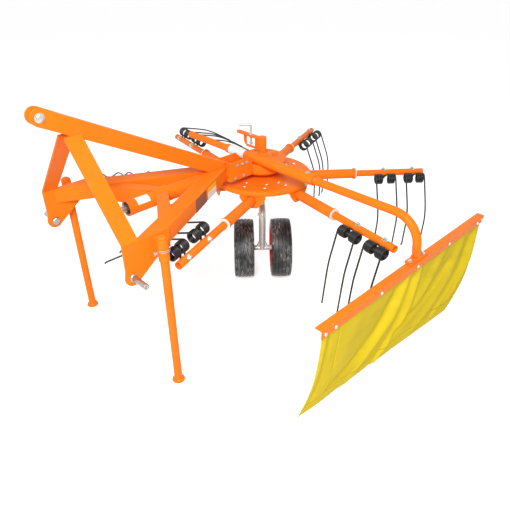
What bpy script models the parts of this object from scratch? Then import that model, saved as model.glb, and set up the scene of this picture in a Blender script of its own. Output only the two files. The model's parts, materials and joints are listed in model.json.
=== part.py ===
"""Rotary hay rake, carried on a three-point linkage, standing on its twin caster wheels and two stand legs.

Metres, +Z up, ground at z = 0. The machine drives towards -Y, and its left side, with the curtain, is +X.
Every piece is placed under the empty "rake", whose own place brings the middle of the machine to the origin,
so that x = y = 0 in the sizes below is the rotor's upright axis.
"""
import math

import bmesh
import bpy
from mathutils import Matrix, Vector

# Place of the rotor's axis, so that the machine's outer box is centred on the origin
ROTOR_AXIS_X = -0.058
ROTOR_AXIS_Y = 0.157

# Clearance between pieces that touch
SEAT = 0.0003
# How far a cutter runs past what it cuts
OVERRUN = 0.01

# Rotor: a dished disc over a closed cam drum, with six sleeves, each with a rolling tine arm in it
ARM_COUNT = 6
FIRST_ARM_ANGLE = math.radians(-70.15)
DISC_TOP = 0.700
DISC_RADIUS = 0.300
DISC_SHEET = 0.006
DISC_LIP = 0.026
LIP_ROUND = 0.012
HUB_RADIUS = 0.062
HUB_RISE = 0.0075
DRUM_RADIUS = 0.144
DRUM_DEPTH = 0.100
DRUM_EDGE = 0.012
DRUM_BOSS_RADIUS = 0.050
DRUM_BOSS_DEPTH = 0.006
ARM_DROP = 0.059
ARM_OFFSET = 0.064
ARM_RADIUS = 0.020
ARM_INNER = 0.135
ARM_REACH = 1.030
SLEEVE_RADIUS = 0.029
SLEEVE_INNER = 0.100
SLEEVE_BORE_INNER = 0.130
SLEEVE_REACH = 0.594
COLLAR_RADIUS = 0.0335
COLLAR_LENGTH = 0.014
HANGER_REACH = 0.286
HANGER_SHEET = 0.006
HANGER_HALF_TOP = 0.080
HANGER_HALF_BOTTOM = 0.026
HANGER_SHOULDER = 0.005
HANGER_DROP = 0.048
HANGER_CORNER = 0.010
HANGER_FLANGE = 0.110

# Cam-lifted arms are rolled back, so that their tines trail nearly level
LIFT_ANGLE = math.radians(-56)
LIFTED_ARMS = (0, 4, 5)

# Double spring tines: coil centre and wire bends from the arm's axis, (across the arm, up)
WIRE_RADIUS = 0.0045
COIL_RADIUS = 0.0275
COIL_TURNS = 3
COIL_PITCH = 0.0100
COIL_CENTRE = (-0.055, -0.020)
TINE_KNEE = (-0.140, -0.180)
TINE_SHIN = (-0.153, -0.260)
TINE_TIP = (-0.160, -0.448)
TINE_PAIRS = ((0.735, 0.815), (0.924, 0.998))
COIL_STEPS_PER_TURN = 6
WIRE_SIDES = 4
CLAMP_LENGTH = 0.030
CLAMP_DEPTH = 0.013
CLAMP_WIDTH = 0.024
BOLT_HEAD_RADIUS = 0.0085
BOLT_HEAD_HEIGHT = 0.007

# Gearbox over the disc, with the fixed post through it
GEARBOX_RADIUS = 0.143
GEARBOX_FOOT_RADIUS = 0.105
GEARBOX_FOOT_HEIGHT = 0.0245
GEARBOX_GAP = 0.006
GEARBOX_WALL = 0.0837
GEARBOX_CROWN = 0.015
GEARBOX_CROWN_RADIUS = 0.066
GEARBOX_EDGE = 0.006
BEARING_RADIUS = 0.058
BOSS_COUNT = 4
FIRST_BOSS_ANGLE = math.radians(-15)
BOSS_PLACE = 0.088
BOSS_RADIUS = 0.019
BOSS_HEIGHT = 0.010
NECK_HALF_WIDTH = 0.050
NECK_FRONT = 0.215
NECK_MARGIN = 0.006
NECK_RISE = 0.0215
POST_RADIUS = 0.025
POST_DROP = 0.051
POST_RISE = 0.1078
POST_SOCKET_DEPTH = 0.090
CAP_RADIUS = 0.027
CAP_HEIGHT = 0.008

# Lever plate on the post, with the bent pin that locks the caster
LEVER_REACH = 0.215
LEVER_BAR_DROP = 0.008
LEVER_BAR_THICK = 0.012
LEVER_BAR_WIDTH = 0.030
LEVER_WEB_THICK = 0.008
LEVER_WEB_HEIGHT = 0.080
LEVER_WEB_REACH = 0.155
LEVER_WINDOW_LEFT = 0.135
LEVER_WINDOW_RIGHT = 0.058
LEVER_WINDOW_MARGIN = 0.012
LEVER_WEB_CORNER = 0.024
LOCK_PIN_RADIUS = 0.0055
LOCK_PIN_PLACE = 0.095
LOCK_PIN_BELOW = 0.062
LOCK_PIN_ABOVE = 0.060
LOCK_PIN_HANDLE = 0.070
LOCK_PIN_BEND = 0.014
LOCK_PIN_HEADING = math.radians(-134)
LOCK_PIN_COLLAR = 0.009
LOCK_PIN_BEND_STEPS = 4

# Caster with twin wheels
CASTER_HEADING = math.radians(-42.5)
WHEEL_RADIUS = 0.191
TYRE_WIDTH = 0.126
TYRE_SPACING = 0.236
TYRE_BEAD_RADIUS = 0.102
TYRE_SHOULDER = 0.022
CASTER_TRAIL = 0.053
AXLE_RADIUS = 0.010
AXLE_END = 0.024
AXLE_NUT_RADIUS = 0.017
AXLE_NUT_WIDTH = 0.012
STEM_RADIUS = 0.018
STEM_DROP = 0.110
STEM_REACH = 0.074
LEG_RADIUS = 0.021
LEG_BEND_STEPS = 6
AXLE_TUBE_RADIUS = 0.0165
RIM_WALL = 0.006
RIM_WEB = 0.010
RIM_HUB_RADIUS = 0.028
RIM_HUB_LENGTH = 0.100

# Drive: housing tube with the splined shaft stub at its front
DRIVE_RISE = 0.0715
DRIVE_TUBE_RADIUS = 0.0395
DRIVE_TUBE_WALL = 0.0045
DRIVE_TUBE_FRONT = 0.942
DRIVE_POCKET = 0.060
STUB_RADIUS = 0.0174
STUB_ROOT_RADIUS = 0.0145
STUB_SPLINES = 6
STUB_REACH = 0.058
STUB_INNER = 0.020
STUB_CHAMFER = 0.0012
STUB_FLANGE_RADIUS = 0.0335
STUB_FLANGE_LENGTH = 0.012
STUB_SEAT_DEPTH = 0.030
# Where each spline starts and ends, and its groove, as shares of one spline's turn
SPLINE_SHARES = (0, 0.25, 0.5, 0.75)

# Two box beams that meet over the rotor, seen from above as a letter A
BEAM_RISE = 0.047
BEAM_HEIGHT = 0.080
BEAM_WIDTH = 0.090
BEAM_ANGLE = math.radians(27.8)
BEAM_REAR = 0.306
BEAM_REAR_HALF = 0.031
BEAM_EDGE = 0.007

# Hitch cheeks with the lower link pins
CHEEK_OUTER = 0.378
CHEEK_THICK = 0.012
CHEEK_FRONT = 1.192
CHEEK_REAR = 0.955
CHEEK_REAR_DEPTH = 0.095
CHEEK_LOBE = 0.040
CHEEK_LOBE_END = math.radians(-40)
CHEEK_LOBE_STEPS = 6
HITCH_PIN_RADIUS = 0.014
HITCH_PIN_LENGTH = 0.098
HITCH_PIN_SETBACK = 0.032
HITCH_PIN_DROP = 0.170
HITCH_NUT_RADIUS = 0.021
HITCH_NUT_LENGTH = 0.016
PIN_CHAMFER = 0.003

# Mast: two leaning flat bars and a long box brace with ears for the top link
MAST_HEIGHT = 0.481
BRACE_HALF_WIDTH = 0.028
BRACE_DEPTH = 0.075
BRACE_WALL = 0.008
BRACE_REACH = 0.080
BRACE_END = 0.320
BRACE_END_RISE = 0.0266
BRACE_NOSE_STEPS = 8
EAR_SLOT_DEPTH = 0.070
TOP_PIN_RADIUS = 0.0095
TOP_PIN_HEAD_RADIUS = 0.016
TOP_PIN_HEAD_LENGTH = 0.010
TOP_PIN_TAIL = 0.016
UPRIGHT_WIDTH = 0.080
UPRIGHT_THICK = 0.010
UPRIGHT_LAP = 0.004

# Cross plate that carries the drive tube between the beams
SADDLE_FORWARD = 0.760
SADDLE_THICK = 0.010
SADDLE_TOP_MARGIN = 0.004
SADDLE_DEPTH = 0.047

# Bracket from the beams to the gearbox
MOUNT_THICK = 0.008
MOUNT_RISE = 0.020
MOUNT_HEIGHT = 0.110
MOUNT_GAP = 0.002
MOUNT_CORNER = 0.030

# Curtain boom: a tube that slides in a sleeve and bends down to the bar
BOOM_FORWARD = 0.100
BOOM_RADIUS = 0.021
BOOM_RIGHT_END = -0.557
BOOM_END_X = 1.122
BOOM_BEND = 0.140
BOOM_DROP = 0.221
BOOM_SLEEVE_RADIUS = 0.0285
BOOM_SLEEVE_RIGHT = -0.240
BOOM_SLEEVE_LEFT = 0.447
BOOM_BEND_STEPS = 6
END_PLATE_LENGTH = 0.100
END_PLATE_WIDTH = 0.036
END_PLATE_THICK = 0.008

# Angle bar and the curtain that hangs from it
BAR_MARGIN = 0.004
BAR_FLANGE = 0.040
BAR_THICK = 0.005
BAR_FRONT = 0.800
BAR_REAR = 0.600
CURTAIN_THICK = 0.008
CURTAIN_END_MARGIN = 0.010
CURTAIN_BOTTOM = 0.050
CURTAIN_FRONT_LEAN = 0.080
CURTAIN_REAR_CUT = 0.200
CURTAIN_ROW_COUNT = 5
CURTAIN_COLUMN_COUNT = 8

# Stand legs that slide in sleeves beside the cheeks
STAND_OFFSET = 0.059
STAND_FORWARD = 1.033
STAND_SLEEVE_RADIUS = 0.025
STAND_SLEEVE_RISE = 0.002
STAND_SLEEVE_LENGTH = 0.110
STAND_LEG_RADIUS = 0.020
STAND_LEG_RISE = 0.012
STAND_TAB_WIDTH = 0.026
FOOT_PAD_RADIUS = 0.033
FOOT_PAD_HEIGHT = 0.014
STAND_PIN_RADIUS = 0.005
STAND_PIN_DROP = 0.059
STAND_PIN_LENGTH = 0.030
STAND_RING_RADIUS = 0.019
STAND_RING_WIRE = 0.0025
STAND_RING_STEPS = 11
STAND_RING_SWEEP = math.radians(330)

# Heights and places that follow from the sizes above
ARM_AXIS_HEIGHT = DISC_TOP - ARM_DROP
HUB_TOP = DISC_TOP + HUB_RISE
DRUM_BOTTOM = DISC_TOP - DRUM_DEPTH
GEARBOX_BOTTOM = HUB_TOP + GEARBOX_GAP
GEARBOX_SHOULDER = GEARBOX_BOTTOM + GEARBOX_WALL
GEARBOX_TOP = GEARBOX_SHOULDER + GEARBOX_CROWN
POST_BOTTOM = ARM_AXIS_HEIGHT - POST_DROP
POST_TOP = GEARBOX_TOP + POST_RISE
LEVER_BAR_TOP = POST_TOP - LEVER_BAR_DROP
LEVER_WEB_BOTTOM = LEVER_BAR_TOP - LEVER_WEB_HEIGHT
STEM_SHOULDER = POST_BOTTOM - STEM_DROP
STEM_TOP = POST_BOTTOM + STEM_REACH
DRIVE_HEIGHT = GEARBOX_BOTTOM + DRIVE_RISE
BEAM_TOP = DRIVE_HEIGHT + BEAM_RISE
HITCH_PIN_FORWARD = CHEEK_FRONT - HITCH_PIN_SETBACK
HITCH_PIN_HEIGHT = BEAM_TOP - HITCH_PIN_DROP
TOP_PIN_FORWARD = CHEEK_FRONT + BRACE_REACH
TOP_PIN_HEIGHT = BEAM_TOP + MAST_HEIGHT
BOOM_HEIGHT = GEARBOX_SHOULDER + SEAT + BOOM_SLEEVE_RADIUS
BAR_TOP = BOOM_HEIGHT - BOOM_DROP
BAR_INNER = BOOM_END_X - END_PLATE_WIDTH / 2 - BAR_MARGIN
STAND_X = CHEEK_OUTER + STAND_OFFSET
STAND_SLEEVE_TOP = BEAM_TOP + STAND_SLEEVE_RISE
STAND_SLEEVE_BOTTOM = STAND_SLEEVE_TOP - STAND_SLEEVE_LENGTH
STAND_LEG_TOP = STAND_SLEEVE_TOP + STAND_LEG_RISE
STAND_PIN_HEIGHT = STAND_SLEEVE_TOP - STAND_PIN_DROP

# Facets round a circle
ROUND_TINY = 8
ROUND_SMALL = 12
ROUND_MEDIUM = 16
ROUND_LARGE = 24
HEX = 6

# Edges flatter than this are shaded smooth
SMOOTH = math.radians(40)

# Finishes: colour, roughness, metallic
FINISHES = {
    "orange_paint": ((0.90, 0.21, 0.018), 0.38, 0.0),
    "zinc_plate": ((0.62, 0.62, 0.60), 0.35, 0.9),
    "bright_steel": ((0.45, 0.44, 0.42), 0.40, 0.9),
    "black_spring": ((0.015, 0.015, 0.017), 0.45, 0.3),
    "tyre_rubber": ((0.022, 0.022, 0.024), 0.80, 0.0),
    "red_rim": ((0.55, 0.02, 0.02), 0.45, 0.0),
    "yellow_cloth": ((0.78, 0.62, 0.04), 0.70, 0.0),
}


def clear_scene():
    """Remove what the startup file holds."""
    for item in list(bpy.data.objects):
        bpy.data.objects.remove(item, do_unlink=True)


def finish(name):
    """Material with the colour, roughness and metallic value of one finish."""
    if name in bpy.data.materials:
        return bpy.data.materials[name]
    colour, roughness, metallic = FINISHES[name]
    material = bpy.data.materials.new(name)
    material.use_nodes = True
    shader = material.node_tree.nodes["Principled BSDF"]
    shader.inputs["Base Color"].default_value = (*colour, 1.0)
    shader.inputs["Roughness"].default_value = roughness
    shader.inputs["Metallic"].default_value = metallic
    material.diffuse_color = (*colour, 1.0)
    return material


def empty(name, parent=None, location=(0, 0, 0), heading=0):
    """Empty that carries pieces, turned about the vertical by its heading."""
    item = bpy.data.objects.new(name, None)
    item.location = location
    item.rotation_euler = (0, 0, heading)
    item.parent = parent
    bpy.context.scene.collection.objects.link(item)
    return item


def piece(name, bm, finish_name, parent, location=(0, 0, 0), rotation=(0, 0, 0), smooth_angle=None):
    """Object made from a bmesh, with its finish and its place under a parent."""
    bmesh.ops.recalc_face_normals(bm, faces=bm.faces)
    mesh = bpy.data.meshes.new(name)
    bm.to_mesh(mesh)
    bm.free()
    if smooth_angle is not None:
        mesh.shade_smooth()
        mesh.set_sharp_from_angle(angle=smooth_angle)
    mesh.materials.append(finish(finish_name))
    item = bpy.data.objects.new(name, mesh)
    item.location = location
    item.rotation_euler = rotation
    item.parent = parent
    bpy.context.scene.collection.objects.link(item)
    return item


def combine(item, others, operation="UNION"):
    """Join others to item, or cut them from it, and remove them."""
    for other in others:
        step = item.modifiers.new(other.name, "BOOLEAN")
        step.operation = operation
        step.solver = "EXACT"
        step.object = other
    bpy.context.view_layer.update()
    graph = bpy.context.evaluated_depsgraph_get()
    mesh = bpy.data.meshes.new_from_object(item.evaluated_get(graph))
    mesh.name = item.name
    item.modifiers.clear()
    item.data = mesh
    for other in others:
        bpy.data.objects.remove(other, do_unlink=True)
    return item


def box(low, high):
    """Box between two corners."""
    bm = bmesh.new()
    size = Vector(high) - Vector(low)
    centre = (Vector(high) + Vector(low)) / 2
    bmesh.ops.create_cube(bm, size=1, matrix=Matrix.Translation(centre) @ Matrix.Diagonal((*size, 1)))
    return bm


def plate(outline, low, high, axis="Z"):
    """Flat outline pushed from low to high along an axis; the outline's two values are the other axes."""
    bm = bmesh.new()
    if axis == "Z":
        corners = [bm.verts.new((a, b, low)) for a, b in outline]
        push = Vector((0, 0, high - low))
    elif axis == "Y":
        corners = [bm.verts.new((a, low, b)) for a, b in outline]
        push = Vector((0, high - low, 0))
    else:
        corners = [bm.verts.new((low, a, b)) for a, b in outline]
        push = Vector((high - low, 0, 0))
    face = bm.faces.new(corners)
    pushed = bmesh.ops.extrude_face_region(bm, geom=[face])
    moved = [part for part in pushed["geom"] if isinstance(part, bmesh.types.BMVert)]
    bmesh.ops.translate(bm, verts=moved, vec=push)
    return bm


def soften(bm, width, direction, segments=1):
    """Bevel the edges that run along a direction."""
    direction = Vector(direction).normalized()
    edges = []
    for edge in bm.edges:
        run = (edge.verts[1].co - edge.verts[0].co).normalized()
        if abs(run.dot(direction)) > math.cos(math.radians(1)):
            edges.append(edge)
    bmesh.ops.bevel(bm, geom=edges, offset=width, segments=segments, affect="EDGES", profile=0.5)
    return bm


def turned(profile, sides, axis="Z"):
    """Profile of (radius, place along the axis) turned round an axis; a profile off the axis makes a ring."""
    bm = bmesh.new()
    rings = []
    for radius, place in profile:
        if radius == 0:
            rings.append([bm.verts.new((0, 0, place))])
            continue
        ring = []
        for step in range(sides):
            angle = math.tau * step / sides
            ring.append(bm.verts.new((radius * math.cos(angle), radius * math.sin(angle), place)))
        rings.append(ring)
    pairs = list(zip(rings, rings[1:]))
    if len(rings[0]) > 1 or len(rings[-1]) > 1:
        pairs.append((rings[-1], rings[0]))
    for first, second in pairs:
        for step in range(sides):
            after = (step + 1) % sides
            corners = [first[step % len(first)], first[after % len(first)]]
            corners += [second[after % len(second)], second[step % len(second)]]
            corners = list(dict.fromkeys(corners))
            if len(corners) > 2:
                bm.faces.new(corners)
    if axis == "X":
        bmesh.ops.rotate(bm, verts=bm.verts, matrix=Matrix.Rotation(math.pi / 2, 3, "Y"))
    if axis == "Y":
        bmesh.ops.rotate(bm, verts=bm.verts, matrix=Matrix.Rotation(-math.pi / 2, 3, "X"))
    bmesh.ops.recalc_face_normals(bm, faces=bm.faces)
    return bm


def rod(radius, low, high, sides, axis="Z", chamfer=0):
    """Solid round bar between two places on an axis, with its ends chamfered if asked."""
    profile = [(0, low)]
    if chamfer:
        profile += [(radius - chamfer, low), (radius, low + chamfer), (radius, high - chamfer)]
        profile += [(radius - chamfer, high)]
    else:
        profile += [(radius, low), (radius, high)]
    profile.append((0, high))
    return turned(profile, sides, axis)


def bore_radius(radius, sides):
    """Radius of a faceted bore whose flats clear a round bar of this radius that turns in it."""
    return (radius + SEAT) / math.cos(math.pi / sides)


def pipe(outer, inner, low, high, sides, axis="Z"):
    """Open tube between two places on an axis."""
    return turned([(outer, low), (outer, high), (inner, high), (inner, low)], sides, axis)


def swept(path, radius, sides):
    """Round wire or tube along a list of points, with flat ends."""
    points = [Vector(point) for point in path]
    bm = bmesh.new()
    count = len(points)
    tangent = (points[1] - points[0]).normalized()
    side = tangent.orthogonal().normalized()
    rings = []
    for place in range(count):
        before = points[max(place - 1, 0)]
        after = points[min(place + 1, count - 1)]
        new_tangent = (after - before).normalized()
        side = (tangent.rotation_difference(new_tangent) @ side).normalized()
        side = (side - new_tangent * side.dot(new_tangent)).normalized()
        tangent = new_tangent
        up = tangent.cross(side)
        ring = []
        for step in range(sides):
            angle = math.tau * step / sides
            ring.append(bm.verts.new(points[place] + radius * (math.cos(angle) * side + math.sin(angle) * up)))
        rings.append(ring)
    for first, second in zip(rings, rings[1:]):
        for step in range(sides):
            after = (step + 1) % sides
            bm.faces.new((first[step], first[after], second[after], second[step]))
    bm.faces.new(list(reversed(rings[0])))
    bm.faces.new(rings[-1])
    return bm


def arc(centre, radius, start, end, steps):
    """Points of an arc, both ends included."""
    return [
        (centre[0] + radius * math.cos(start + (end - start) * step / steps),
         centre[1] + radius * math.sin(start + (end - start) * step / steps))
        for step in range(steps + 1)
    ]


def rotor_carrier(parent):
    """Dished disc on a closed cam drum, with six arm sleeves through folded hangers under its rim."""
    lip_bottom = DISC_TOP - DISC_LIP
    inner_edge = DISC_RADIUS - DISC_SHEET
    under = DISC_TOP - DISC_SHEET
    round_mid = LIP_ROUND * (1 - math.cos(math.pi / 4))
    hub_bore = bore_radius(POST_RADIUS, ROUND_LARGE)
    profile = [
        (hub_bore, DRUM_BOTTOM - DRUM_BOSS_DEPTH),
        (hub_bore, HUB_TOP),
        (HUB_RADIUS, HUB_TOP),
        (HUB_RADIUS, DISC_TOP),
        (DISC_RADIUS - LIP_ROUND, DISC_TOP),
        (DISC_RADIUS - round_mid, DISC_TOP - round_mid),
        (DISC_RADIUS, DISC_TOP - LIP_ROUND),
        (DISC_RADIUS, lip_bottom),
        (inner_edge, lip_bottom),
        (inner_edge, DISC_TOP - LIP_ROUND),
        (inner_edge - LIP_ROUND + DISC_SHEET, under),
        (DRUM_RADIUS, under),
        (DRUM_RADIUS, DRUM_BOTTOM + DRUM_EDGE),
        (DRUM_RADIUS - DRUM_EDGE, DRUM_BOTTOM),
        (DRUM_BOSS_RADIUS, DRUM_BOTTOM),
        (DRUM_BOSS_RADIUS, DRUM_BOTTOM - DRUM_BOSS_DEPTH),
    ]
    carrier = piece("rotor_carrier", turned(profile, ROUND_LARGE), "orange_paint", parent, smooth_angle=SMOOTH)
    lean = math.asin(ARM_OFFSET / HANGER_REACH)
    shoulder = lip_bottom - HANGER_SHOULDER
    hanger_bottom = ARM_AXIS_HEIGHT - HANGER_DROP
    additions = []
    bores = []
    for index in range(ARM_COUNT):
        turn = Matrix.Rotation(FIRST_ARM_ANGLE + math.tau * index / ARM_COUNT, 4, "Z")
        axis = turn @ Matrix.Translation((0, ARM_OFFSET, ARM_AXIS_HEIGHT))
        hanger = plate([
            (-HANGER_HALF_TOP, under + DISC_SHEET / 2),
            (-HANGER_HALF_TOP, shoulder),
            (-HANGER_HALF_BOTTOM - HANGER_CORNER, hanger_bottom + HANGER_CORNER),
            (-HANGER_HALF_BOTTOM, hanger_bottom),
            (HANGER_HALF_BOTTOM, hanger_bottom),
            (HANGER_HALF_BOTTOM + HANGER_CORNER, hanger_bottom + HANGER_CORNER),
            (HANGER_HALF_TOP, shoulder),
            (HANGER_HALF_TOP, under + DISC_SHEET / 2),
        ], HANGER_REACH - HANGER_SHEET, HANGER_REACH, "X")
        flange_half = HANGER_HALF_TOP - HANGER_SHEET
        flange = box((HANGER_REACH - HANGER_FLANGE, -flange_half, under - HANGER_SHEET),
                     (HANGER_REACH - HANGER_SHEET / 2, flange_half, under + DISC_SHEET / 3))
        for name, bm in (("hanger", hanger), ("flange", flange)):
            additions.append(piece(name, bm, "orange_paint", parent))
            additions[-1].matrix_local = turn @ Matrix.Rotation(lean, 4, "Z")
        sleeve = rod(SLEEVE_RADIUS, SLEEVE_INNER, SLEEVE_REACH, ROUND_SMALL, "X")
        additions.append(piece("sleeve", sleeve, "orange_paint", parent, smooth_angle=SMOOTH))
        additions[-1].matrix_local = axis
        collar = rod(COLLAR_RADIUS, SLEEVE_REACH - COLLAR_LENGTH, SLEEVE_REACH + SEAT, ROUND_SMALL, "X")
        additions.append(piece("collar", collar, "orange_paint", parent, smooth_angle=SMOOTH))
        additions[-1].matrix_local = axis
        bore = rod(bore_radius(ARM_RADIUS, ROUND_SMALL), SLEEVE_BORE_INNER, SLEEVE_REACH + OVERRUN, ROUND_SMALL, "X")
        bores.append(piece("bore", bore, "orange_paint", parent))
        bores[-1].matrix_local = axis
    combine(carrier, additions)
    combine(carrier, bores, "DIFFERENCE")
    return carrier


def tine_path(first, second):
    """Double tine: tip, knee, coil, clamp bridge, second coil, knee and tip, as (along, across, up) points."""
    across, up = COIL_CENTRE
    clamp = Vector((0, -ARM_RADIUS - WIRE_RADIUS))
    reach = clamp - Vector((across, up))
    bridge_angle = math.atan2(reach.y, reach.x) + math.acos(COIL_RADIUS / reach.length)
    shin = Vector(TINE_KNEE) - Vector((across, up))
    tine_angle = math.atan2(shin.y, shin.x) - math.acos(COIL_RADIUS / shin.length) + math.tau
    sweep = tine_angle - bridge_angle + math.tau * (COIL_TURNS - 1)
    if sweep < math.tau * COIL_TURNS - math.pi:
        sweep += math.tau
    steps = round(COIL_STEPS_PER_TURN * sweep / math.tau)
    half = COIL_PITCH * sweep / math.tau / 2
    middle = (first + second) / 2
    halves = []
    for centre, outward in ((first, -1), (second, 1)):
        run = [(middle + outward * WIRE_RADIUS, *clamp)]
        for step in range(steps + 1):
            angle = bridge_angle + sweep * step / steps
            along = centre + outward * half * (2 * step / steps - 1)
            run.append((along, across + COIL_RADIUS * math.cos(angle), up + COIL_RADIUS * math.sin(angle)))
        tine_along = centre + outward * half
        for bend in (TINE_KNEE, TINE_SHIN, TINE_TIP):
            run.append((tine_along, *bend))
        halves.append(run)
    return list(reversed(halves[0])) + halves[1]


def tine_arm(name, parent, angle, roll, mesh=None):
    """Rolling arm with two double spring tines, clamped under it and bolted through."""
    place = Matrix.Rotation(angle, 4, "Z") @ Matrix.Translation((0, ARM_OFFSET, ARM_AXIS_HEIGHT))
    place = place @ Matrix.Rotation(roll, 4, "X")
    if mesh is not None:
        item = bpy.data.objects.new(name, mesh)
        item.parent = parent
        bpy.context.scene.collection.objects.link(item)
        item.matrix_local = place
        return item
    shaft = rod(ARM_RADIUS, ARM_INNER, ARM_REACH, ROUND_SMALL, "X", chamfer=PIN_CHAMFER)
    item = piece(name, shaft, "orange_paint", parent, smooth_angle=SMOOTH)
    additions = []
    for first, second in TINE_PAIRS:
        middle = (first + second) / 2
        wire = swept(tine_path(first, second), WIRE_RADIUS, WIRE_SIDES)
        additions.append(piece("tine", wire, "black_spring", parent, smooth_angle=SMOOTH))
        clamp = box((middle - CLAMP_LENGTH / 2, -CLAMP_WIDTH / 2, -ARM_RADIUS - CLAMP_DEPTH),
                    (middle + CLAMP_LENGTH / 2, CLAMP_WIDTH / 2, -ARM_RADIUS / 2))
        additions.append(piece("clamp", clamp, "zinc_plate", parent))
        head = rod(BOLT_HEAD_RADIUS, 0, ARM_RADIUS + BOLT_HEAD_HEIGHT, HEX)
        additions.append(piece("bolt", head, "zinc_plate", parent, (middle, 0, 0)))
    combine(item, additions)
    item.matrix_local = place
    return item


def rotor(parent):
    """Everything that turns about the upright axis."""
    base = empty("rotor_axis", parent)
    rotor_carrier(base)
    mesh = None
    for index in range(ARM_COUNT):
        angle = FIRST_ARM_ANGLE + math.tau * index / ARM_COUNT
        roll = LIFT_ANGLE if index in LIFTED_ARMS else 0
        arm = tine_arm(f"tine_arm_{index + 1}", base, angle, roll, mesh)
        mesh = arm.data


def gearbox(parent):
    """Round gear housing on its base ring, with a square neck to the drive tube, bored for the post."""
    profile = [
        (0, HUB_TOP + SEAT),
        (BEARING_RADIUS, HUB_TOP + SEAT),
        (BEARING_RADIUS, GEARBOX_BOTTOM),
        (GEARBOX_FOOT_RADIUS, GEARBOX_BOTTOM),
        (GEARBOX_FOOT_RADIUS, GEARBOX_BOTTOM + GEARBOX_FOOT_HEIGHT - GEARBOX_EDGE),
        (GEARBOX_FOOT_RADIUS + GEARBOX_EDGE, GEARBOX_BOTTOM + GEARBOX_FOOT_HEIGHT),
        (GEARBOX_RADIUS - GEARBOX_EDGE, GEARBOX_BOTTOM + GEARBOX_FOOT_HEIGHT),
        (GEARBOX_RADIUS, GEARBOX_BOTTOM + GEARBOX_FOOT_HEIGHT + GEARBOX_EDGE),
        (GEARBOX_RADIUS, GEARBOX_SHOULDER - GEARBOX_EDGE),
        (GEARBOX_RADIUS - GEARBOX_EDGE, GEARBOX_SHOULDER),
        (GEARBOX_CROWN_RADIUS + GEARBOX_EDGE, GEARBOX_SHOULDER),
        (GEARBOX_CROWN_RADIUS, GEARBOX_SHOULDER + GEARBOX_EDGE),
        (GEARBOX_CROWN_RADIUS - GEARBOX_EDGE, GEARBOX_TOP),
        (0, GEARBOX_TOP),
    ]
    housing = piece("gearbox", turned(profile, ROUND_LARGE), "orange_paint", parent, smooth_angle=SMOOTH)
    neck = box((-NECK_HALF_WIDTH, -NECK_FRONT, GEARBOX_BOTTOM + NECK_RISE),
               (NECK_HALF_WIDTH, 0, GEARBOX_SHOULDER - NECK_MARGIN))
    soften(neck, GEARBOX_EDGE, (0, 1, 0))
    face = rod(NECK_HALF_WIDTH - GEARBOX_EDGE, -NECK_FRONT, -BOOM_FORWARD - BOOM_SLEEVE_RADIUS - GEARBOX_EDGE,
               ROUND_MEDIUM, "Y")
    bmesh.ops.translate(face, verts=face.verts, vec=(0, 0, DRIVE_HEIGHT))
    additions = [
        piece("neck", neck, "orange_paint", parent, smooth_angle=SMOOTH),
        piece("flange", face, "orange_paint", parent, smooth_angle=SMOOTH),
    ]
    for index in range(BOSS_COUNT - 1):
        angle = FIRST_BOSS_ANGLE + math.tau * index / BOSS_COUNT
        boss = rod(BOSS_RADIUS, GEARBOX_SHOULDER - GEARBOX_EDGE, GEARBOX_SHOULDER + BOSS_HEIGHT, ROUND_SMALL)
        additions.append(piece("boss", boss, "orange_paint", parent,
                               (BOSS_PLACE * math.cos(angle), BOSS_PLACE * math.sin(angle), 0),
                               smooth_angle=SMOOTH))
    combine(housing, additions)
    bore = rod(POST_RADIUS + SEAT, HUB_TOP - OVERRUN, GEARBOX_TOP + OVERRUN, ROUND_MEDIUM)
    combine(housing, [piece("bore", bore, "orange_paint", parent)], "DIFFERENCE")


def centre_post(parent):
    """Fixed post through gearbox and rotor, with a socket for the caster's stem in its lower end."""
    socket = bore_radius(STEM_RADIUS, ROUND_MEDIUM)
    profile = [
        (0, POST_BOTTOM + POST_SOCKET_DEPTH),
        (socket, POST_BOTTOM + POST_SOCKET_DEPTH),
        (socket, POST_BOTTOM),
        (POST_RADIUS, POST_BOTTOM),
        (POST_RADIUS, POST_TOP - CAP_HEIGHT),
        (CAP_RADIUS, POST_TOP - CAP_HEIGHT),
        (CAP_RADIUS, POST_TOP - CAP_HEIGHT / 2),
        (POST_RADIUS - CAP_HEIGHT / 2, POST_TOP),
        (0, POST_TOP),
    ]
    piece("centre_post", turned(profile, ROUND_MEDIUM), "orange_paint", parent, smooth_angle=SMOOTH)


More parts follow.
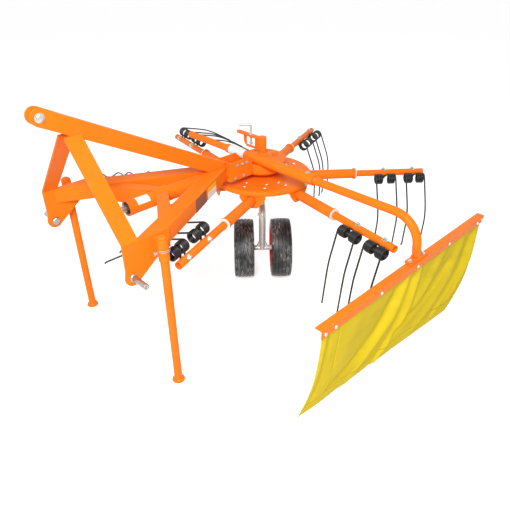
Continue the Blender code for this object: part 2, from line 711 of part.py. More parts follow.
def lock_lever(parent):
    """Flat bar on a windowed web at the post, with the hole for the lock pin."""
    near = -POST_RADIUS - SEAT
    bar_bottom = LEVER_BAR_TOP - LEVER_BAR_THICK
    half = LEVER_BAR_WIDTH / 2
    bar_outline = [(near, -half), (near, half)]
    bar_outline += arc((-LEVER_REACH + half, 0), half, math.pi / 2, math.pi * 3 / 2, ROUND_SMALL // 2)
    bar = plate(bar_outline, bar_bottom, LEVER_BAR_TOP)
    web = plate([
        (near, LEVER_WEB_BOTTOM),
        (near, LEVER_BAR_TOP - LEVER_BAR_THICK / 2),
        (-LEVER_WEB_REACH, LEVER_BAR_TOP - LEVER_BAR_THICK / 2),
        (-LEVER_WEB_REACH, LEVER_WEB_BOTTOM + LEVER_WEB_CORNER),
        (-LEVER_WEB_REACH + LEVER_WEB_CORNER, LEVER_WEB_BOTTOM),
    ], -LEVER_WEB_THICK / 2, LEVER_WEB_THICK / 2, "Y")
    lever = piece("lock_lever", bar, "orange_paint", parent, smooth_angle=SMOOTH)
    combine(lever, [piece("web", web, "orange_paint", parent)])
    window = box((-LEVER_WINDOW_LEFT, -LEVER_WEB_THICK, LEVER_WEB_BOTTOM + LEVER_WINDOW_MARGIN),
                 (-LEVER_WINDOW_RIGHT, LEVER_WEB_THICK, bar_bottom - SEAT))
    hole = rod(LOCK_PIN_RADIUS + SEAT, bar_bottom - OVERRUN, LEVER_BAR_TOP + OVERRUN, ROUND_SMALL)
    bmesh.ops.translate(hole, verts=hole.verts, vec=(-LOCK_PIN_PLACE, 0, 0))
    combine(lever, [
        piece("window", window, "orange_paint", parent),
        piece("hole", hole, "orange_paint", parent),
    ], "DIFFERENCE")


def lock_pin(parent):
    """Bent round pin through the lever's bar, resting on its collar."""
    heading = Vector((math.cos(LOCK_PIN_HEADING), math.sin(LOCK_PIN_HEADING), 0))
    corner = Vector((0, 0, LEVER_BAR_TOP + LOCK_PIN_ABOVE))
    path = [Vector((0, 0, LEVER_BAR_TOP - LOCK_PIN_BELOW))]
    for step in range(LOCK_PIN_BEND_STEPS + 1):
        turn = math.pi / 2 * step / LOCK_PIN_BEND_STEPS
        rise = LOCK_PIN_BEND * (math.sin(turn) - 1)
        path.append(corner + Vector((0, 0, rise)) + heading * LOCK_PIN_BEND * (1 - math.cos(turn)))
    path.append(corner + heading * LOCK_PIN_HANDLE)
    pin = piece("lock_pin", swept(path, LOCK_PIN_RADIUS, ROUND_TINY), "zinc_plate", parent,
                (-LOCK_PIN_PLACE, 0, 0), smooth_angle=SMOOTH)
    seat = rod(LOCK_PIN_COLLAR, LEVER_BAR_TOP + SEAT, LEVER_BAR_TOP + LOCK_PIN_RADIUS, ROUND_SMALL)
    combine(pin, [piece("seat", seat, "zinc_plate", parent, (-LOCK_PIN_PLACE, 0, 0))])


def caster(parent):
    """Swivelling leg with its axle, and the pair of wheels on it."""
    base = empty("caster_axis", parent, heading=CASTER_HEADING)
    bend_top = STEM_SHOULDER - LEG_RADIUS
    path = [(CASTER_TRAIL, 0, WHEEL_RADIUS)]
    path += [(x, 0, bend_top - CASTER_TRAIL + z)
             for x, z in arc((0, 0), CASTER_TRAIL, 0, math.pi / 2, LEG_BEND_STEPS)]
    path.append((-STEM_RADIUS, 0, bend_top))
    item = piece("caster_leg", swept(path, LEG_RADIUS, ROUND_MEDIUM), "zinc_plate", base, smooth_angle=SMOOTH)
    stem = rod(STEM_RADIUS, bend_top, STEM_TOP, ROUND_MEDIUM)
    tube_half = TYRE_SPACING / 2 - RIM_HUB_LENGTH / 2 - SEAT
    tube = rod(AXLE_TUBE_RADIUS, -tube_half, tube_half, ROUND_MEDIUM, "Y")
    combine(item, [
        piece("stem", stem, "zinc_plate", base, smooth_angle=SMOOTH),
        piece("tube", tube, "zinc_plate", base, (CASTER_TRAIL, 0, WHEEL_RADIUS), smooth_angle=SMOOTH),
    ])
    bore = rod(AXLE_RADIUS + SEAT, -TYRE_SPACING, TYRE_SPACING, ROUND_SMALL, "Y")
    combine(item, [piece("bore", bore, "zinc_plate", base, (CASTER_TRAIL, 0, WHEEL_RADIUS))], "DIFFERENCE")
    hub_end = TYRE_SPACING / 2 + RIM_HUB_LENGTH / 2 + SEAT
    axle_profile = [
        (0, -hub_end - AXLE_NUT_WIDTH),
        (AXLE_NUT_RADIUS, -hub_end - AXLE_NUT_WIDTH),
        (AXLE_NUT_RADIUS, -hub_end),
        (AXLE_RADIUS, -hub_end),
        (AXLE_RADIUS, hub_end),
        (AXLE_NUT_RADIUS, hub_end),
        (AXLE_NUT_RADIUS, hub_end + AXLE_NUT_WIDTH),
        (AXLE_RADIUS, hub_end + AXLE_NUT_WIDTH),
        (AXLE_RADIUS, hub_end + AXLE_END),
        (0, hub_end + AXLE_END),
    ]
    piece("wheel_axle", turned(axle_profile, ROUND_SMALL, "Y"), "bright_steel", base,
          (CASTER_TRAIL, 0, WHEEL_RADIUS), smooth_angle=SMOOTH)
    axle = empty("wheel_axis", base, (CASTER_TRAIL, 0, WHEEL_RADIUS))
    for side, sign in (("left", 1), ("right", -1)):
        wheel(axle, side, sign * TYRE_SPACING / 2)


def wheel(parent, side, offset):
    """Tyre on a pressed rim with a hub tube."""
    half = TYRE_WIDTH / 2
    crown = WHEEL_RADIUS - TYRE_SHOULDER / 4
    tyre_profile = [
        (TYRE_BEAD_RADIUS, -half + TYRE_SHOULDER),
        (TYRE_BEAD_RADIUS + TYRE_SHOULDER, -half + TYRE_SHOULDER / 4),
        (WHEEL_RADIUS - TYRE_SHOULDER * 2, -half),
        (crown - TYRE_SHOULDER / 4, -half + TYRE_SHOULDER / 3),
        (WHEEL_RADIUS, -half + TYRE_SHOULDER),
        (WHEEL_RADIUS, half - TYRE_SHOULDER),
        (crown - TYRE_SHOULDER / 4, half - TYRE_SHOULDER / 3),
        (WHEEL_RADIUS - TYRE_SHOULDER * 2, half),
        (TYRE_BEAD_RADIUS + TYRE_SHOULDER, half - TYRE_SHOULDER / 4),
        (TYRE_BEAD_RADIUS, half - TYRE_SHOULDER),
    ]
    piece(f"tyre_{side}", turned(tyre_profile, ROUND_LARGE, "Y"), "tyre_rubber", parent, (0, offset, 0),
          smooth_angle=SMOOTH)
    seat = TYRE_BEAD_RADIUS - SEAT
    barrel = seat - RIM_WALL
    hub_half = RIM_HUB_LENGTH / 2
    edge = half - TYRE_SHOULDER
    rim_profile = [
        (AXLE_RADIUS + SEAT, -hub_half),
        (RIM_HUB_RADIUS, -hub_half),
        (RIM_HUB_RADIUS, -RIM_WEB / 2),
        (barrel, -RIM_WEB / 2),
        (barrel, -edge),
        (seat, -edge),
        (seat, edge),
        (barrel, edge),
        (barrel, RIM_WEB / 2),
        (RIM_HUB_RADIUS, RIM_WEB / 2),
        (RIM_HUB_RADIUS, hub_half),
        (AXLE_RADIUS + SEAT, hub_half),
    ]
    piece(f"rim_{side}", turned(rim_profile, ROUND_LARGE, "Y"), "red_rim", parent, (0, offset, 0),
          smooth_angle=SMOOTH)


def drive(parent):
    """Housing tube of the drive, and the splined stub at its front."""
    front = -DRIVE_TUBE_FRONT
    rear = -NECK_FRONT - SEAT
    inner = DRIVE_TUBE_RADIUS - DRIVE_TUBE_WALL
    floor = front + DRIVE_POCKET
    hole = bore_radius(STUB_RADIUS, ROUND_LARGE)
    profile = [
        (0, floor + STUB_SEAT_DEPTH),
        (hole, floor + STUB_SEAT_DEPTH),
        (hole, floor),
        (inner, floor),
        (inner, front),
        (DRIVE_TUBE_RADIUS, front),
        (DRIVE_TUBE_RADIUS, rear),
        (0, rear),
    ]
    piece("drive_tube", turned(profile, ROUND_LARGE, "Y"), "orange_paint", parent, (0, 0, DRIVE_HEIGHT),
          smooth_angle=SMOOTH)
    axis = empty("input_axis", parent, (0, front, DRIVE_HEIGHT))
    seat_end = DRIVE_POCKET + STUB_SEAT_DEPTH - SEAT
    shaft = rod(STUB_RADIUS, STUB_INNER, seat_end, ROUND_MEDIUM, "Y", chamfer=STUB_CHAMFER)
    item = piece("input_shaft", shaft, "bright_steel", axis, smooth_angle=SMOOTH)
    outline = []
    for index in range(STUB_SPLINES):
        for radius, share in zip((STUB_RADIUS, STUB_RADIUS, STUB_ROOT_RADIUS, STUB_ROOT_RADIUS), SPLINE_SHARES):
            angle = math.tau * (index + share) / STUB_SPLINES
            outline.append((radius * math.cos(angle), radius * math.sin(angle)))
    splines = plate(outline, -STUB_REACH, STUB_INNER + STUB_FLANGE_LENGTH, "Y")
    flange = rod(STUB_FLANGE_RADIUS, DRIVE_POCKET - STUB_FLANGE_LENGTH - SEAT, DRIVE_POCKET - SEAT,
                 ROUND_MEDIUM, "Y")
    combine(item, [
        piece("splines", splines, "bright_steel", axis),
        piece("flange", flange, "bright_steel", axis, smooth_angle=SMOOTH),
    ])


def beams(parent):
    """Two box beams, mitred to each other over the drive tube and cut square to the cheeks at the front."""
    lean = math.tan(BEAM_ANGLE)
    across = BEAM_WIDTH / math.cos(BEAM_ANGLE)
    front_x = CHEEK_OUTER - CHEEK_THICK - SEAT
    outer_front = -BEAM_REAR - (front_x - BEAM_REAR_HALF) / lean
    inner_front = outer_front - across / lean
    inner_rear = -BEAM_REAR + (BEAM_REAR_HALF - across) / lean
    for side, sign in (("left", 1), ("right", -1)):
        outline = [
            (sign * front_x, outer_front),
            (sign * BEAM_REAR_HALF, -BEAM_REAR),
            (sign * SEAT / 2, -BEAM_REAR),
            (sign * SEAT / 2, inner_rear + SEAT / 2 / lean),
            (sign * front_x, inner_front),
        ]
        bm = plate(outline, BEAM_TOP - BEAM_HEIGHT, BEAM_TOP)
        soften(bm, BEAM_EDGE, (-sign * math.sin(BEAM_ANGLE), math.cos(BEAM_ANGLE), 0), segments=2)
        beam = piece(f"frame_beam_{side}", bm, "orange_paint", parent, smooth_angle=SMOOTH)
        tunnel = rod(DRIVE_TUBE_RADIUS + SEAT, -DRIVE_TUBE_FRONT, 0, ROUND_LARGE, "Y")
        bmesh.ops.translate(tunnel, verts=tunnel.verts, vec=(0, 0, DRIVE_HEIGHT))
        combine(beam, [piece("tunnel", tunnel, "orange_paint", parent)], "DIFFERENCE")


def saddle_plate(parent):
    """Cross plate between the beams with the drive tube through it."""
    lean = math.tan(BEAM_ANGLE)
    across = BEAM_WIDTH / math.cos(BEAM_ANGLE)
    outline = []
    for forward in (SADDLE_FORWARD, SADDLE_FORWARD - SADDLE_THICK):
        reach = BEAM_REAR_HALF - across + (forward - BEAM_REAR) * lean - SEAT / math.cos(BEAM_ANGLE)
        outline.append((reach, -forward))
    outline = outline + [(-x, y) for x, y in reversed(outline)]
    bm = plate(outline, DRIVE_HEIGHT - SADDLE_DEPTH, BEAM_TOP - SADDLE_TOP_MARGIN)
    item = piece("saddle_plate", bm, "orange_paint", parent)
    hole = rod(DRIVE_TUBE_RADIUS + SEAT, -SADDLE_FORWARD - OVERRUN, -SADDLE_FORWARD + SADDLE_THICK + OVERRUN,
               ROUND_LARGE, "Y")
    bmesh.ops.translate(hole, verts=hole.verts, vec=(0, 0, DRIVE_HEIGHT))
    combine(item, [piece("hole", hole, "orange_paint", parent)], "DIFFERENCE")


def gearbox_mount(parent):
    """Bracket bolted to the gearbox neck, with a front plate on the beams' rear ends."""
    front = -BEAM_REAR + SEAT
    inner = NECK_HALF_WIDTH + SEAT
    outer = inner + MOUNT_THICK
    top = BEAM_TOP + MOUNT_RISE
    bottom = top - MOUNT_HEIGHT
    rear = -math.sqrt((GEARBOX_RADIUS + MOUNT_GAP) ** 2 - inner ** 2)
    bm = box((-outer, front, bottom), (outer, front + MOUNT_THICK, top))
    item = piece("gearbox_mount", bm, "orange_paint", parent)
    sides = []
    for sign in (1, -1):
        outline = [
            (front, bottom),
            (front, top),
            (rear - MOUNT_CORNER, top),
            (rear, top - MOUNT_CORNER),
            (rear, bottom),
        ]
        low, high = sorted((sign * inner, sign * outer))
        sides.append(piece("side", plate(outline, low, high, "X"), "orange_paint", parent))
    combine(item, sides)
    hole = rod(DRIVE_TUBE_RADIUS + SEAT, front - OVERRUN, front + MOUNT_THICK + OVERRUN, ROUND_LARGE, "Y")
    bmesh.ops.translate(hole, verts=hole.verts, vec=(0, 0, DRIVE_HEIGHT))
    combine(item, [piece("hole", hole, "orange_paint", parent)], "DIFFERENCE")


def hitch(parent):
    """Cheek plates with the lower link pins."""
    for side, sign in (("left", 1), ("right", -1)):
        outer = sign * CHEEK_OUTER
        inner = sign * (CHEEK_OUTER - CHEEK_THICK)
        outline = [
            (-CHEEK_FRONT, BEAM_TOP),
            (-CHEEK_FRONT, HITCH_PIN_HEIGHT + CHEEK_LOBE),
        ]
        outline += arc((-HITCH_PIN_FORWARD, HITCH_PIN_HEIGHT), CHEEK_LOBE, -math.pi, CHEEK_LOBE_END,
                       CHEEK_LOBE_STEPS)
        outline += [
            (-CHEEK_REAR - CHEEK_LOBE, BEAM_TOP - CHEEK_REAR_DEPTH),
            (-CHEEK_REAR, BEAM_TOP - CHEEK_REAR_DEPTH),
            (-CHEEK_REAR, BEAM_TOP),
        ]
        low, high = sorted((outer, inner))
        item = piece(f"hitch_cheek_{side}", plate(outline, low, high, "X"), "orange_paint", parent)
        hole = rod(HITCH_PIN_RADIUS + SEAT, low - OVERRUN, high + OVERRUN, ROUND_MEDIUM, "X")
        bmesh.ops.translate(hole, verts=hole.verts, vec=(0, -HITCH_PIN_FORWARD, HITCH_PIN_HEIGHT))
        combine(item, [piece("hole", hole, "orange_paint", parent)], "DIFFERENCE")
        profile = [
            (0, -HITCH_NUT_LENGTH - SEAT),
            (HITCH_NUT_RADIUS, -HITCH_NUT_LENGTH - SEAT),
            (HITCH_NUT_RADIUS, -SEAT),
            (HITCH_PIN_RADIUS, -SEAT),
            (HITCH_PIN_RADIUS, HITCH_PIN_LENGTH + CHEEK_THICK - PIN_CHAMFER),
            (HITCH_PIN_RADIUS - PIN_CHAMFER, HITCH_PIN_LENGTH + CHEEK_THICK),
            (0, HITCH_PIN_LENGTH + CHEEK_THICK),
        ]
        pin = turned([(radius, sign * place) for radius, place in profile], ROUND_MEDIUM, "X")
        piece(f"hitch_pin_{side}", pin, "bright_steel", parent, (inner, -HITCH_PIN_FORWARD, HITCH_PIN_HEIGHT),
              smooth_angle=SMOOTH)


def brace_slope():
    """Angle at which the brace runs down from the top link pin to its rear end on the beams."""
    run = TOP_PIN_FORWARD - BRACE_END
    drop = MAST_HEIGHT - BRACE_END_RISE
    return math.atan2(drop, run) + math.asin(BRACE_DEPTH / 2 / math.hypot(run, drop))


def mast_brace(parent):
    """Long box brace from the top link ears back to the beams."""
    angle = brace_slope()
    slope = math.tan(angle)
    half = BRACE_DEPTH / 2
    rise = half / math.cos(angle)
    pin = (-TOP_PIN_FORWARD, TOP_PIN_HEIGHT)
    floor = BEAM_TOP + SEAT
    lower_meet = (pin[1] - rise - floor) / slope + pin[0]
    outline = arc(pin, half, math.pi / 2 - angle, math.pi * 3 / 2 - angle, BRACE_NOSE_STEPS)
    outline += [
        (lower_meet, floor),
        (-BRACE_END, floor),
        (-BRACE_END, BEAM_TOP + BRACE_END_RISE),
    ]
    bm = plate(outline, -BRACE_HALF_WIDTH, BRACE_HALF_WIDTH, "X")
    item = piece("mast_brace", bm, "orange_paint", parent)
    slot = box((-BRACE_HALF_WIDTH + BRACE_WALL, -half - EAR_SLOT_DEPTH, -BRACE_DEPTH),
               (BRACE_HALF_WIDTH - BRACE_WALL, EAR_SLOT_DEPTH, BRACE_DEPTH))
    cutter = piece("slot", slot, "orange_paint", parent, (0, *pin), (-angle, 0, 0))
    hole = rod(TOP_PIN_RADIUS + SEAT, -BRACE_HALF_WIDTH - OVERRUN, BRACE_HALF_WIDTH + OVERRUN, ROUND_MEDIUM, "X")
    bmesh.ops.translate(hole, verts=hole.verts, vec=(0, *pin))
    combine(item, [cutter, piece("hole", hole, "orange_paint", parent)], "DIFFERENCE")
    seat = BRACE_HALF_WIDTH + SEAT
    profile = [
        (0, -seat - TOP_PIN_HEAD_LENGTH),
        (TOP_PIN_HEAD_RADIUS, -seat - TOP_PIN_HEAD_LENGTH),
        (TOP_PIN_HEAD_RADIUS, -seat),
        (TOP_PIN_RADIUS, -seat),
        (TOP_PIN_RADIUS, seat),
        (TOP_PIN_HEAD_RADIUS, seat),
        (TOP_PIN_HEAD_RADIUS, seat + TOP_PIN_HEAD_LENGTH),
        (TOP_PIN_RADIUS, seat + TOP_PIN_HEAD_LENGTH),
        (TOP_PIN_RADIUS - PIN_CHAMFER, seat + TOP_PIN_TAIL),
        (0, seat + TOP_PIN_TAIL),
    ]
    piece("top_link_pin", turned(profile, ROUND_MEDIUM, "X"), "zinc_plate", parent, (0, *pin), smooth_angle=SMOOTH)


def uprights(parent):
    """Flat bars that lean from the cheeks up to the brace."""
    foot_z = BEAM_TOP + SEAT
    foot_x = CHEEK_OUTER
    top_x = BRACE_HALF_WIDTH + SEAT
    angle = brace_slope()
    brace_middle = TOP_PIN_HEIGHT - (TOP_PIN_FORWARD - CHEEK_FRONT + UPRIGHT_WIDTH / 2) * math.tan(angle)
    top_z = brace_middle - BRACE_DEPTH / 2 / math.cos(angle) + UPRIGHT_LAP
    lean = math.atan2(top_z - foot_z, foot_x - top_x)
    level = UPRIGHT_THICK / math.sin(lean)
    plumb = UPRIGHT_THICK / math.cos(lean)
    for side, sign in (("left", 1), ("right", -1)):
        outline = [
            (sign * (foot_x - level), foot_z),
            (sign * foot_x, foot_z),
            (sign * top_x, top_z),
            (sign * top_x, top_z - plumb),
        ]
        bm = plate(outline, -CHEEK_FRONT, -CHEEK_FRONT + UPRIGHT_WIDTH, "Y")
        piece(f"mast_upright_{side}", bm, "orange_paint", parent)


def boom(parent):
    """Boom tube with its end plate, the curtain bar and the curtain, all sliding together."""
    sleeve = pipe(BOOM_SLEEVE_RADIUS, BOOM_RADIUS + SEAT, BOOM_SLEEVE_RIGHT, BOOM_SLEEVE_LEFT, ROUND_MEDIUM, "X")
    piece("boom_sleeve", sleeve, "orange_paint", parent, (0, -BOOM_FORWARD, BOOM_HEIGHT), smooth_angle=SMOOTH)
    base = empty("boom_axis", parent, (0, -BOOM_FORWARD, BOOM_HEIGHT))
    plate_top = BAR_TOP + SEAT + END_PLATE_THICK
    path = [(BOOM_RIGHT_END, 0, 0)]
    path += [(BOOM_END_X - BOOM_BEND + x, 0, -BOOM_BEND + z)
             for x, z in arc((0, 0), BOOM_BEND, math.pi / 2, 0, BOOM_BEND_STEPS)]
    path.append((BOOM_END_X, 0, plate_top - BOOM_HEIGHT - END_PLATE_THICK / 2))
    item = piece("boom_tube", swept(path, BOOM_RADIUS, ROUND_MEDIUM), "orange_paint", base, smooth_angle=SMOOTH)
    foot = box((-END_PLATE_WIDTH / 2, -END_PLATE_LENGTH / 2, plate_top - END_PLATE_THICK - BOOM_HEIGHT),
               (END_PLATE_WIDTH / 2, END_PLATE_LENGTH / 2, plate_top - BOOM_HEIGHT))
    combine(item, [piece("foot", foot, "orange_paint", base, (BOOM_END_X, 0, 0))])
    bar_outline = [
        (BAR_INNER, BAR_TOP - BAR_THICK),
        (BAR_INNER, BAR_TOP),
        (BAR_INNER + BAR_FLANGE, BAR_TOP),
        (BAR_INNER + BAR_FLANGE, BAR_TOP - BAR_FLANGE),
        (BAR_INNER + BAR_FLANGE - BAR_THICK, BAR_TOP - BAR_FLANGE),
        (BAR_INNER + BAR_FLANGE - BAR_THICK, BAR_TOP - BAR_THICK),
    ]
    bar = plate(bar_outline, -BAR_FRONT, BAR_REAR, "Y")
    bmesh.ops.translate(bar, verts=bar.verts, vec=(0, BOOM_FORWARD, -BOOM_HEIGHT))
    piece("curtain_bar", bar, "orange_paint", base)
    sheet = curtain_sheet()
    bmesh.ops.translate(sheet, verts=sheet.verts, vec=(0, BOOM_FORWARD, -BOOM_HEIGHT))
    piece("curtain", sheet, "yellow_cloth", base, smooth_angle=SMOOTH)


def curtain_sheet():
    """Hanging curtain as one thick sheet: its front lower corner blows inwards and its rear one is cut short."""
    top = BAR_TOP - BAR_THICK - SEAT
    outer = BAR_INNER + BAR_FLANGE - BAR_THICK - SEAT
    front = -BAR_FRONT + CURTAIN_END_MARGIN
    rear = BAR_REAR - CURTAIN_END_MARGIN
    bm = bmesh.new()
    layers = []
    for depth in (0, CURTAIN_THICK):
        rows = []
        for row in range(CURTAIN_ROW_COUNT + 1):
            drop = row / CURTAIN_ROW_COUNT
            verts = []
            for column in range(CURTAIN_COLUMN_COUNT + 1):
                share = column / CURTAIN_COLUMN_COUNT
                lean = CURTAIN_FRONT_LEAN * drop ** 2 * (1 - share)
                cut = CURTAIN_REAR_CUT * drop ** 4 * share
                x = outer - depth - lean
                y = front + (rear - front) * share - cut
                z = top + (CURTAIN_BOTTOM - top) * drop
                verts.append(bm.verts.new((x, y, z)))
            rows.append(verts)
        layers.append(rows)
    for rows in layers:
        for upper, lower in zip(rows, rows[1:]):
            for column in range(CURTAIN_COLUMN_COUNT):
                bm.faces.new((upper[column], upper[column + 1], lower[column + 1], lower[column]))
    rims = []
    for rows in layers:
        rim = list(rows[0])
        rim += [row[-1] for row in rows[1:]]
        rim += list(reversed(rows[-1]))[1:]
        rim += [row[0] for row in reversed(rows[1:-1])]
        rims.append(rim)
    for step in range(len(rims[0])):
        after = (step + 1) % len(rims[0])
        bm.faces.new((rims[0][step], rims[0][after], rims[1][after], rims[1][step]))
    return bm


def stands(parent):
    """Stand legs in their sleeves, with the ring pins that hold them."""
    for side, sign in (("left", 1), ("right", -1)):
        place = (sign * STAND_X, -STAND_FORWARD, 0)
        sleeve = rod(STAND_SLEEVE_RADIUS, STAND_SLEEVE_BOTTOM, STAND_SLEEVE_TOP, ROUND_MEDIUM)
        item = piece(f"stand_sleeve_{side}", sleeve, "orange_paint", parent, place, smooth_angle=SMOOTH)
        low, high = sorted((-sign * (STAND_X - CHEEK_OUTER - SEAT), -sign * STAND_LEG_RADIUS))
        tab = box((low, -STAND_TAB_WIDTH / 2, STAND_SLEEVE_BOTTOM + STAND_TAB_WIDTH),
                  (high, STAND_TAB_WIDTH / 2, STAND_SLEEVE_TOP - STAND_TAB_WIDTH / 2))
        combine(item, [piece("tab", tab, "orange_paint", parent, place)])
        bore = rod(STAND_LEG_RADIUS + SEAT, STAND_SLEEVE_BOTTOM - OVERRUN, STAND_SLEEVE_TOP + OVERRUN, ROUND_MEDIUM)
        hole = rod(STAND_PIN_RADIUS + SEAT, -STAND_SLEEVE_RADIUS - OVERRUN, 0, ROUND_SMALL, "Y")
        bmesh.ops.translate(hole, verts=hole.verts, vec=(0, 0, STAND_PIN_HEIGHT))
        combine(item, [
            piece("bore", bore, "orange_paint", parent, place),
            piece("hole", hole, "orange_paint", parent, place),
        ], "DIFFERENCE")
        pin_inner = STAND_LEG_RADIUS + SEAT * 2
        pin = rod(STAND_PIN_RADIUS, -pin_inner - STAND_PIN_LENGTH, -pin_inner, ROUND_TINY, "Y")
        knob = piece(f"stand_pin_{side}", pin, "zinc_plate", parent, (*place[:2], STAND_PIN_HEIGHT),
                     smooth_angle=SMOOTH)
        ring_path = [(x, -pin_inner - STAND_PIN_LENGTH + STAND_RING_WIRE, z - STAND_RING_RADIUS)
                     for x, z in arc((0, 0), STAND_RING_RADIUS, 0, STAND_RING_SWEEP, STAND_RING_STEPS)]
        ring = swept([(x, y, z + STAND_RING_WIRE) for x, y, z in ring_path], STAND_RING_WIRE, WIRE_SIDES)
        combine(knob, [piece("ring", ring, "zinc_plate", parent, (*place[:2], STAND_PIN_HEIGHT))])
        base = empty(f"stand_axis_{side}", parent, place)
        profile = [
            (0, 0),
            (FOOT_PAD_RADIUS, 0),
            (FOOT_PAD_RADIUS, FOOT_PAD_HEIGHT / 2),
            (STAND_LEG_RADIUS + PIN_CHAMFER, FOOT_PAD_HEIGHT),
            (STAND_LEG_RADIUS, FOOT_PAD_HEIGHT * 2),
            (STAND_LEG_RADIUS, STAND_LEG_TOP - PIN_CHAMFER),
            (STAND_LEG_RADIUS - PIN_CHAMFER, STAND_LEG_TOP),
            (0, STAND_LEG_TOP),
        ]
        piece(f"stand_leg_{side}", turned(profile, ROUND_MEDIUM), "orange_paint", base, smooth_angle=SMOOTH)


def build():
    """Make the whole rake."""
    clear_scene()
    rake = empty("rake", location=(ROTOR_AXIS_X, ROTOR_AXIS_Y, 0))
    for make in (rotor, gearbox, centre_post, lock_lever, lock_pin, caster, drive, beams, saddle_plate,
                 gearbox_mount, hitch, mast_brace, uprights, boom, stands):
        make(rake)


build()
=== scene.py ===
"""Looks of the rotary hay rake: fine shapes and finishes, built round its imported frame.

Metres, +Z up. The shapes are drawn about the rotor's upright axis, x = y = 0, with the ground at z = 0 and
the hitch towards -Y, and HOME brings them to their place in the frame.
"""
import json
import math

import bmesh
import bpy
from mathutils import Matrix, Vector


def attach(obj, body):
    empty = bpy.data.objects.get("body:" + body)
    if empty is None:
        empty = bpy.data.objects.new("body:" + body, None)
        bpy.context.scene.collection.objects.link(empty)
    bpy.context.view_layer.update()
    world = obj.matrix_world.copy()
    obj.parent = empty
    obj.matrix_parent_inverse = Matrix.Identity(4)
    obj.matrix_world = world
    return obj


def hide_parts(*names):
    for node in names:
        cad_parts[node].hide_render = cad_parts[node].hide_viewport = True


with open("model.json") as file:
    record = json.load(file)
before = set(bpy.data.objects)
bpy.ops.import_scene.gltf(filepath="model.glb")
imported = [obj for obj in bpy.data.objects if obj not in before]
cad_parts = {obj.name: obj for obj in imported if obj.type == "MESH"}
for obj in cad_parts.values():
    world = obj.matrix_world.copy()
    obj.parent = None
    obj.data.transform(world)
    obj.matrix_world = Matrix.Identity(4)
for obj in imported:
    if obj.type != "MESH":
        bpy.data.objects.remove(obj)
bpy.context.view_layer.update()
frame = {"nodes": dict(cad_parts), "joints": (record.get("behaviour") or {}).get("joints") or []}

bl_info = {
    "name": "Rotary hay rake",
    "version": (1, 0, 0),
    "blender": (4, 5, 0),
    "location": "View3D > Sidebar > Hay Rake",
    "description": "Builds the finishes and fine shapes of a rotary hay rake round its frame",
    "category": "Object",
}

# Place of the rotor's upright axis, from the frame
ROTOR_PLACE = next(Vector(joint["pos_m"]) for joint in frame["joints"] if joint["name"] == "rotor_spin")
HOME = Matrix.Translation((ROTOR_PLACE.x, ROTOR_PLACE.y, 0))
STAY = Matrix.Identity(4)

# Clearance between pieces that touch
SEAT = 0.0003

# Rotor disc, drum and arm sleeves
DISC_TOP = 0.700
DISC_RADIUS = 0.300
DISC_SHEET = 0.006
DISC_LIP = 0.026
LIP_ROUND = 0.012
HUB_RADIUS = 0.062
HUB_TOP = 0.7075
HUB_BORE = 0.0257
DRUM_RADIUS = 0.144
DRUM_BOTTOM = 0.600
DRUM_EDGE = 0.012
DRUM_BOSS = 0.050
DRUM_BOSS_DEPTH = 0.006
DRUM_BOLTS = 8
DRUM_BOLT_PLACE = 0.092
ARM_COUNT = 6
FIRST_ARM = math.radians(-70.15)
ARM_HEIGHT = 0.641
ARM_OFFSET = 0.064
ARM_RADIUS = 0.020
ARM_WALL = 0.0032
ARM_INNER = 0.136
ARM_REACH = 1.030
ARM_HOLLOW = 0.060
SLEEVE_RADIUS = 0.029
SLEEVE_INNER = 0.110
SLEEVE_REACH = 0.594
COLLAR_RADIUS = 0.0335
COLLAR_LENGTH = 0.014
FLANGE_RADIUS = 0.0345
FLANGE_LENGTH = 0.004
HANGER_REACH = 0.286
HANGER_TURN = math.asin(ARM_OFFSET / HANGER_REACH)
HANGER_SHEET = 0.006
HANGER_BOTTOM = 0.593
HANGER_SHOULDER = 0.650
HANGER_HALF_TOP = 0.076
HANGER_HALF_BOTTOM = 0.030
HANGER_SHIFT = 0.006
HANGER_FLANGE = 0.110
DISC_BOLT_SETBACKS = (0.050, 0.103)
DISC_BOLT_HALF = 0.059

# Spring tines
LIFT_ANGLE = math.radians(-56)
LIFTED_ARMS = (0, 4, 5)
COIL_RADIUS = 0.0275
COIL_CENTRE = (-0.055, -0.020)
COIL_TURNS = 4
COIL_PITCH = 0.0099
COIL_STEPS = 20
TINE_BENDS = ((-0.140, -0.180), (-0.153, -0.260), (-0.1595, -0.436), (-0.1565, -0.448))
TINE_PAIRS = ((0.735, 0.815), (0.924, 0.998))
TINE_SPLAY = (0.014, 0.018, 0.010, 0.006)
WIRE_SIDES = 10
CLAMP_SIZE = (0.026, 0.024, 0.013)
CLAMP_EAR = 0.003

# Heads of bolts and nuts by their place (radius, height), the arms' own nuts, and the sheet of all washers
SMALL_HEAD = (0.0065, 0.005)
DRUM_HEAD = (0.0075, 0.005)
BRACKET_HEAD = (0.0080, 0.0055)
STOP_HEAD = (0.0085, 0.008)
AXLE_HEAD = (0.0160, 0.010)
CLAMP_HEAD = (0.0080, 0.006)
CLAMP_NUT = (0.0095, 0.009)
FOOT_NUT = (0.0090, 0.007)
BAR_HEAD = (0.0070, 0.005)
BAR_BUTTON = (0.0095, 0.005)
DISC_BUTTON = (0.0092, 0.0052)
NUT_RADIUS = 0.0108
NUT_HEIGHT = 0.0100
WASHER_SHEET = 0.0018

